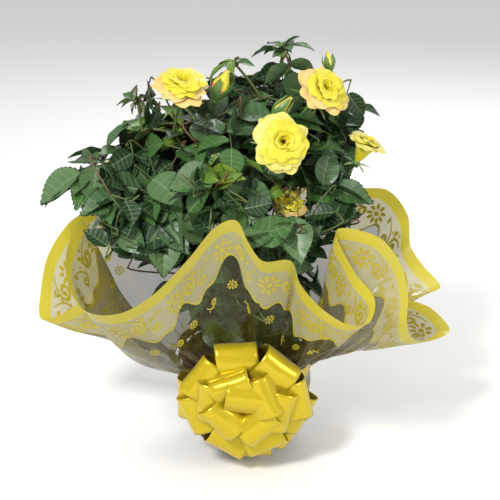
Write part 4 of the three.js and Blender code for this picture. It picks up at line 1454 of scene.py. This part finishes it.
# ---- Flowers --------------------------------------------------------------------------------
SEPAL = {"count": 5, "rows": 10, "columns": 5, "tip_heading": mix(1.35, -0.9, 0.75)}
HIP_RADII = np.array([0.40, 0.62, 0.85, 0.98, 1.0, 0.92, 0.75, 0.45])


def basis(axis):
    """Three square directions, the last along axis."""
    side = across((0.9, 0.1, 0.3), axis)
    return side, np.cross(axis, side), unit(axis)


def placed(seat, axes, points):
    """Points of a flower's own frame, where they stand in the world."""
    return np.asarray(seat) + points.reshape(-1, 3) @ np.array(axes)


def petal(soup, seat, axes, angle, reach, rise, half_width, roll, cup, looks, draw):
    """One petal, from the seat out to `reach` from the axis and up to `rise`.

    roll bends its rim back, and cup runs from 0, wrapped round the heart, to 1, open.
    """
    rows, columns = 13, 11
    v = np.linspace(0, 1, rows)[:, None]
    u = np.linspace(-1, 1, columns)[None, :]
    top = 1 - 0.16 * np.abs(u) ** 2.6 - draw.uniform(0.0, 0.06) * np.exp(-((u / 0.22) ** 2))
    w = v * top
    radius = 1.6 + (reach - 1.6) * w ** mix(0.75, 1.5, cup)
    height = rise * np.sin(0.5 * math.pi * w) ** mix(1.25, 0.85, cup)
    lip = np.clip((w - 0.72) / 0.28, 0, 1) ** 2
    curl = roll * (1 + 0.8 * np.abs(u) ** 2)
    radius = radius + lip * curl * 0.9
    height = height - lip * curl * 0.65
    spread = half_width * (0.28 + 0.72 * np.sin(math.pi * (0.06 + 0.60 * w)) ** 0.8)
    turn = np.clip(spread * u / np.maximum(radius, 3.2), -2.0, 2.0)
    ripple = mix(0.4, 2.1, cup) * draw.uniform(0.6, 1.2)
    frill = ripple * np.sin(u * draw.uniform(3.5, 7) + draw.uniform(0, TAU)) * w**3
    radius = radius + frill + 0.6 * (1 - u**2) * w
    height = height + 0.5 * frill
    world = placed(seat, axes, round_points(radius, angle + turn, height))
    faces = grid_faces(rows, columns)
    per_row = columns - 1
    cuts = np.linspace(0, rows - 1, len(looks) + 1).round().astype(int)
    parts = [
        (faces[a * per_row : b * per_row], "petal_" + look)
        for a, b, look in zip(cuts[:-1], cuts[1:], looks)
        if b > a
    ]
    soup.add_parts(world, parts)


def sepals(soup, seat, axes, length, draw):
    """Narrow pointed sepals round the seat that bend back at their tips."""
    rows = np.linspace(0, 1, SEPAL["rows"])[:, None]
    q = np.linspace(-1, 1, SEPAL["columns"])[None, :]
    heading = mix(0.15, SEPAL["tip_heading"], smooth(rows))
    half = 2.3 * (1 - rows) ** 0.7 * (0.5 + rows) ** 0.3
    trough = 0.5 * (1 - q**2) * (1 - rows)
    for k in range(SEPAL["count"]):
        angle = TAU * k / SEPAL["count"] + draw.uniform(-0.15, 0.15)
        step = length * draw.uniform(0.85, 1.15) / (SEPAL["rows"] - 1)
        r = 2.2 + np.cumsum(np.cos(heading) * step, axis=0) - step
        z = np.cumsum(np.sin(heading) * step, axis=0) - step
        out = r + trough * 0.3
        x = out * math.cos(angle) - half * q * math.sin(angle)
        y = out * math.sin(angle) + half * q * math.cos(angle)
        world = placed(seat, axes, np.stack([x, y, z - trough], axis=-1))
        soup.add(world, grid_faces(SEPAL["rows"], SEPAL["columns"]), "sepal")


def hugging_sepals(soup, seat, axes, radius, height, style):
    """Sepals that lie on the sides of a bud and bend away at their tips."""
    row_count = 12
    rows = np.linspace(0, 1, row_count)[:, None]
    q = np.linspace(-1, 1, SEPAL["columns"])[None, :]
    z = rows * height * style["sepal"]
    hugging = bud_radius(radius * 0.97, z / height)
    out = hugging + 0.9 + style["flare"] * radius * rows**4 - 0.4 * q**2
    half = radius * 0.75 * (1 - rows) ** 0.75 * (0.55 + rows) ** 0.4 + 0.15
    half = np.minimum(half, out * 1.2)
    for k in range(SEPAL["count"]):
        theta = TAU * k / SEPAL["count"] + 0.4 + half * q / np.maximum(out, 1.0)
        world = placed(seat, axes, round_points(out, theta, z))
        soup.add(world, grid_faces(row_count, SEPAL["columns"]), "sepal")


def bud_radius(widest, share):
    """A bud's radius at a share of its height."""
    belly = widest * np.sin(math.pi * (0.10 + 0.80 * share)) ** 0.8
    return belly * mix(1.0, 0.45, np.clip((share - 0.45) / 0.55, 0, 1))


def hip(soup, seat, axes, radius):
    """The green swelling under a flower."""
    heights = np.linspace(-radius * 1.6, radius * 0.6, len(HIP_RADII))
    line = [np.asarray(seat) + axes[2] * height for height in heights]
    add_tube(soup, line, radius * HIP_RADII, 12, "sepal")


BLOOM_STYLES = {
    "bloom_left": {"petals": 38, "rim": "peach", "turn": 0.3, "open": 1.0},
    "bloom_right_top": {"petals": 38, "rim": "peach", "turn": 1.1, "open": 0.9},
    "bloom_centre": {"petals": 44, "rim": "cream", "turn": 2.0, "open": 1.0},
    "bloom_right": {"petals": 26, "rim": "cream", "turn": 0.7, "open": 0.3},
    "bloom_low": {"petals": 20, "rim": "peach", "turn": 0.0, "open": 0.6},
}
# How petals change from the heart of a bloom, place 0, to its outside, place 1: their sizes as
# shares of the bloom's, and how open they stand.
WHORLS = {
    "place": [0.0, 0.22, 0.50, 0.78, 1.0],
    "reach": [0.05, 0.19, 0.40, 0.61, 0.75],
    "rise": [0.84, 0.98, 1.00, 0.86, 0.60],
    "half": [0.16, 0.28, 0.40, 0.52, 0.64],
    "roll": [0.02, 0.09, 0.19, 0.27, 0.28],
    "cup": [0.05, 0.08, 0.20, 0.45, 0.70],
}
# Looks from the foot of a petal to its rim, for petals up to each place.
PETAL_BANDS = [
    # The heart look at the petals' feet is partly the rose's own colour and partly painted shade where
    # the petals overlap.
    (0.25, ["heart", "heart", "lemon"]),
    (0.78, ["heart", "heart", "lemon", "lemon", "pale"]),
    (2.00, ["lemon", "lemon", "pale", "pale", "cream"]),
]


def bloom(petals, greens, name):
    """A full rose: tight whorls in the heart, then wider petals that roll back at the rim."""
    seat, axis, radius, height = flower_frame(name)
    style = BLOOM_STYLES[name]
    draw = random.Random(name)
    axes = basis(axis)
    count = style["petals"]
    for i in range(count):
        t = i / (count - 1)
        reach, rise, half, roll, cup = (
            float(np.interp(t, WHORLS["place"], WHORLS[key]))
            for key in ("reach", "rise", "half", "roll", "cup")
        )
        angle = style["turn"] + i * GOLDEN + draw.uniform(-0.2, 0.2)
        rise = mix(0.95, rise, style["open"])
        cup = mix(0.05, cup, style["open"])
        reach *= radius * draw.uniform(0.88, 1.05)
        rise *= height * draw.uniform(0.90, 1.04)
        half *= radius * draw.uniform(0.9, 1.1)
        end, looks = next(band for band in PETAL_BANDS if t < band[0])
        if end > 1:
            looks = looks + [style["rim"]]
        petal(petals, seat, axes, angle, reach, rise, half, roll * radius, cup, looks, draw)
    sepals(greens, seat, axes, radius * 0.85, draw)
    hip(greens, seat, axes, radius * 0.17)


BUD_STYLES = {
    "bud_left": {"looks": ["cream", "pale", "cream"], "blush": True, "sepal": 0.72, "flare": 0.5},
    "bud_right": {"looks": ["pale", "cream"], "blush": False, "sepal": 0.80, "flare": 0.2},
    "bud_centre": {"looks": ["cream", "pale"], "blush": False, "sepal": 0.92, "flare": 0.2},
}


def bud(petals, greens, name):
    """A closed bud: petals wound round each other, with sepals that still hold it."""
    seat, axis, radius, height = flower_frame(name)
    style = BUD_STYLES[name]
    axes = basis(axis)
    rows, columns, layers = 16, 12, 7
    v = np.linspace(0, 1, rows)[:, None]
    u = np.linspace(0, 1, columns)[None, :]
    w = v * (1 - 0.10 * (2 * u - 1) ** 2)
    for i in range(layers):
        t = i / (layers - 1)
        shell = np.maximum(bud_radius(radius * (0.55 + 0.42 * t), w), 0.35)
        shell = shell + 0.5 * (u - 0.2) * w + 0.5 * t * np.clip(w - 0.9, 0, 1) * 10 * (u > 0.5)
        theta = i * GOLDEN + u * 2.9 + w * 1.1
        z = height * w * mix(0.98, 0.86, t)
        world = placed(seat, axes, round_points(shell, theta, z))
        faces = grid_faces(rows, columns)
        half = len(faces) // 2
        outermost = i == layers - 1
        low = "blush" if style["blush"] and outermost else style["looks"][i % len(style["looks"])]
        high = style["looks"][(i + 1) % len(style["looks"])]
        petals.add_parts(world, [(faces[:half], "petal_" + low), (faces[half:], "petal_" + high)])
    hugging_sepals(greens, seat, axes, radius, height, style)
    hip(greens, seat, axes, radius * 0.42)


def flowers():
    """All blooms and buds, as a piece of petals and a piece of green parts."""
    petals, greens = Soup(), Soup()
    names = list(BLOOM_STYLES) + list(BUD_STYLES)
    for name in BLOOM_STYLES:
        bloom(petals, greens, name)
    for name in BUD_STYLES:
        bud(petals, greens, name)
    petals.piece("petals", "petal", names)
    greens.piece("sepals_and_hips", "young_leaf")


# ---- Shoots and loose leaves ----------------------------------------------------------------
SHOOT_LOOKS = {
    "shoot_left": ["bronze", "fresh", "bronze", "mid"],
    "shoot_top": ["mid", "grey", "fresh", "mid"],
    "shoot_arch": ["fresh", "mid"],
}
SHOOT = {"leaves": 6, "spacing": 10, "least": 9.0, "large": 18, "inner": 3}
UNDERGROWTH = {"count": 56, "heights": (104, 182), "reach": (46, 76), "size": (22, 32)}
CANE_LEAVES = (0.22, 0.36, 0.48, 0.60, 0.72, 0.84)  # where leaves stand along each cane


def shoot(crown, soup, name):
    """A young shoot: small folded leaves that reach the tips of its CAD solid."""
    points = node_points(name)
    middle = np.median(points, axis=0)
    tips = []
    for tip in points[np.argsort(-np.linalg.norm(points - middle, axis=1))]:
        if all(np.linalg.norm(tip - other) > SHOOT["spacing"] for other in tips):
            tips.append(tip)
    for rank, tip in enumerate(tips[: SHOOT["leaves"]]):
        axis = tip - middle
        length = max(np.linalg.norm(axis), SHOOT["least"])
        normal = UP + across(random_unit(), axis) * 0.5
        look = SHOOT_LOOKS[name][rank % len(SHOOT_LOOKS[name])]
        pairs, share = (1, 0.72) if length > SHOOT["large"] else (0, 0.9)
        size = length * share
        crown.compound_leaf(soup, tip, axis, normal, size, pairs, look, attach=False)
        crown.twig_to(middle + unit(axis) * length * 0.12, axis, 0.6, "twig_red")
    for _ in range(SHOOT["inner"]):
        axis = random_unit() + (0, 0, 0.3)
        tip = middle + unit(axis) * 11
        crown.compound_leaf(soup, tip, axis, UP, 9, 0, "fresh", attach=False)


def undergrowth(crown):
    """Leaves below the crown, which show through the film: loose ones, then those on canes."""
    draw = random.Random(8)
    for k in range(UNDERGROWTH["count"]):
        azimuth = draw.uniform(-180, 0) if k % 3 else draw.uniform(0, 180)
        height = draw.uniform(*UNDERGROWTH["heights"])
        level = int((height - NECK["height"]) / ROOM_STEP)
        room = crown.film_room[int(azimuth) % 360, level]
        reach = min(room - 8, draw.uniform(*UNDERGROWTH["reach"]))
        outward = polar(azimuth, 1, 0)
        axis = outward * 1.1 + across(random_unit(), outward) * 0.8 + UP * draw.uniform(-0.2, 0.5)
        look = draw.choice(["mid", "dark", "dark", "grey"])
        spot = polar(azimuth, reach, height)
        size = draw.uniform(*UNDERGROWTH["size"])
        soup = crown.region(spot)
        crown.compound_leaf(soup, spot, axis, outward + UP * 0.4, size, 1, look)
    for name in nodes_named("cane_"):
        line = centreline(name, 6)
        for share in CANE_LEAVES:
            foot = catmull(line, [share * (len(line) - 1)])[0]
            outward = unit(foot * [1, 1, 0] + polar(draw.uniform(0, 360), 22, 0))
            axis = unit(outward + UP * draw.uniform(-0.1, 0.7) + random_unit() * 0.3)
            size = draw.uniform(*UNDERGROWTH["size"])
            pairs = 2
            stalk = size * (STALK["end"] + STALK["gap"] * pairs)
            tip = foot + axis * (stalk + size * STALK["blade"])
            # The deep look among these cane leaves is partly painted shade.
            look = draw.choice(["deep", "dark", "dark", "mid"])
            face = UP + outward * 0.5
            soup = crown.region(tip)
            crown.compound_leaf(soup, tip, axis, face, size, pairs, look, attach=False)


def grow_crown(film):
    """The wood, then leaves from the lowest mass up, then the young shoots."""
    crown = Crown(film)
    canes_and_stems(crown)
    undergrowth(crown)
    middles = {name: node_points(name).mean(axis=0) for name in crown.masses}
    middle_of_crown = np.mean(list(middles.values()), axis=0)
    hero_leaves(crown)
    for name in sorted(crown.masses, key=lambda name: middles[name][2]):
        grow_mass(crown, name, middle_of_crown)
    young = Soup()
    for name in SHOOT_LOOKS:
        middle = np.median(node_points(name), axis=0)
        crown.grow_skeleton(middle[None, :], 1.0)
        shoot(crown, young, name)
    for side in sorted(crown.leaves):
        theirs = [name for name in crown.masses if side_of(middles[name]) == side]
        crown.leaves[side].piece("leaves_" + side, "leaf", theirs)
    young.piece("young_leaves", "young_leaf", list(SHOOT_LOOKS))
    crown.twigs.piece("twigs", "cane_bark")


# ---- Stage ----------------------------------------------------------------------------------
SKY = 0.62  # strength of the even white light from all round
# Lamps: place and size in metres, and watts; all shine at AIM.
LAMPS = {
    "key": ((-0.7, -1.3, 1.4), 0.35, 30),
    "fill": ((1.3, -0.9, 0.8), 0.5, 7),
    "rim": ((0.4, 1.3, 1.3), 0.8, 10),
}
AIM = (0, 0, 0.2)
FLOOR = 4.0  # half the floor's side, in metres


def stage():
    """A white floor that isn't part of the object."""
    mesh = bpy.data.meshes.new("floor")
    corners = [(-FLOOR, -FLOOR, 0), (FLOOR, -FLOOR, 0), (FLOOR, FLOOR, 0), (-FLOOR, FLOOR, 0)]
    mesh.from_pydata(corners, [], [(0, 1, 2, 3)])
    floor = bpy.data.objects.new("floor", mesh)
    bpy.context.scene.collection.objects.link(floor)
    paper = principled("paper", (0.92, 0.92, 0.91), 0.9)
    mesh.materials.append(add_bump(paper, 30, 0.02, 0.001, 2.0))


def lights():
    """An even white world and three lamps."""
    world = bpy.context.scene.world or bpy.data.worlds.new("world")
    bpy.context.scene.world = world
    world.use_nodes = True
    backdrop = world.node_tree.nodes["Background"]
    backdrop.inputs["Color"].default_value = (1, 1, 1, 1)
    backdrop.inputs["Strength"].default_value = SKY
    for name, (place, size, watts) in LAMPS.items():
        light = bpy.data.lights.new(name, "AREA")
        light.size = size
        light.energy = watts
        made = bpy.data.objects.new(name, light)
        made.location = place
        made.rotation_euler = (Vector(AIM) - Vector(place)).to_track_quat("-Z", "Y").to_euler()
        bpy.context.scene.collection.objects.link(made)


def camera():
    """The photo's view: from the front and a little above."""
    data = bpy.data.cameras.new("camera")
    data.lens = CAMERA["lens"]
    data.sensor_width = CAMERA["sensor"]
    made = bpy.data.objects.new("camera", data)
    target = Vector(CAMERA["target"]) * MM
    lift = math.radians(CAMERA["elevation"])
    away = Vector((0, -math.cos(lift), math.sin(lift))) * CAMERA["distance"] * MM
    made.location = target + away
    made.rotation_euler = (-away).to_track_quat("-Z", "Y").to_euler()
    bpy.context.scene.collection.objects.link(made)
    bpy.context.scene.camera = made
    bpy.context.scene.view_settings.view_transform = "Standard"


# ---- Assembly -------------------------------------------------------------------------------
camera()
lights()
stage()
woven_basket()
nursery_pot()
potting_soil()
film = Film()
film_sheet(film)
Print(film).draw_all()
film_skirt()
tie_ribbon()
ribbon_bow()
flowers()
grow_crown(film)
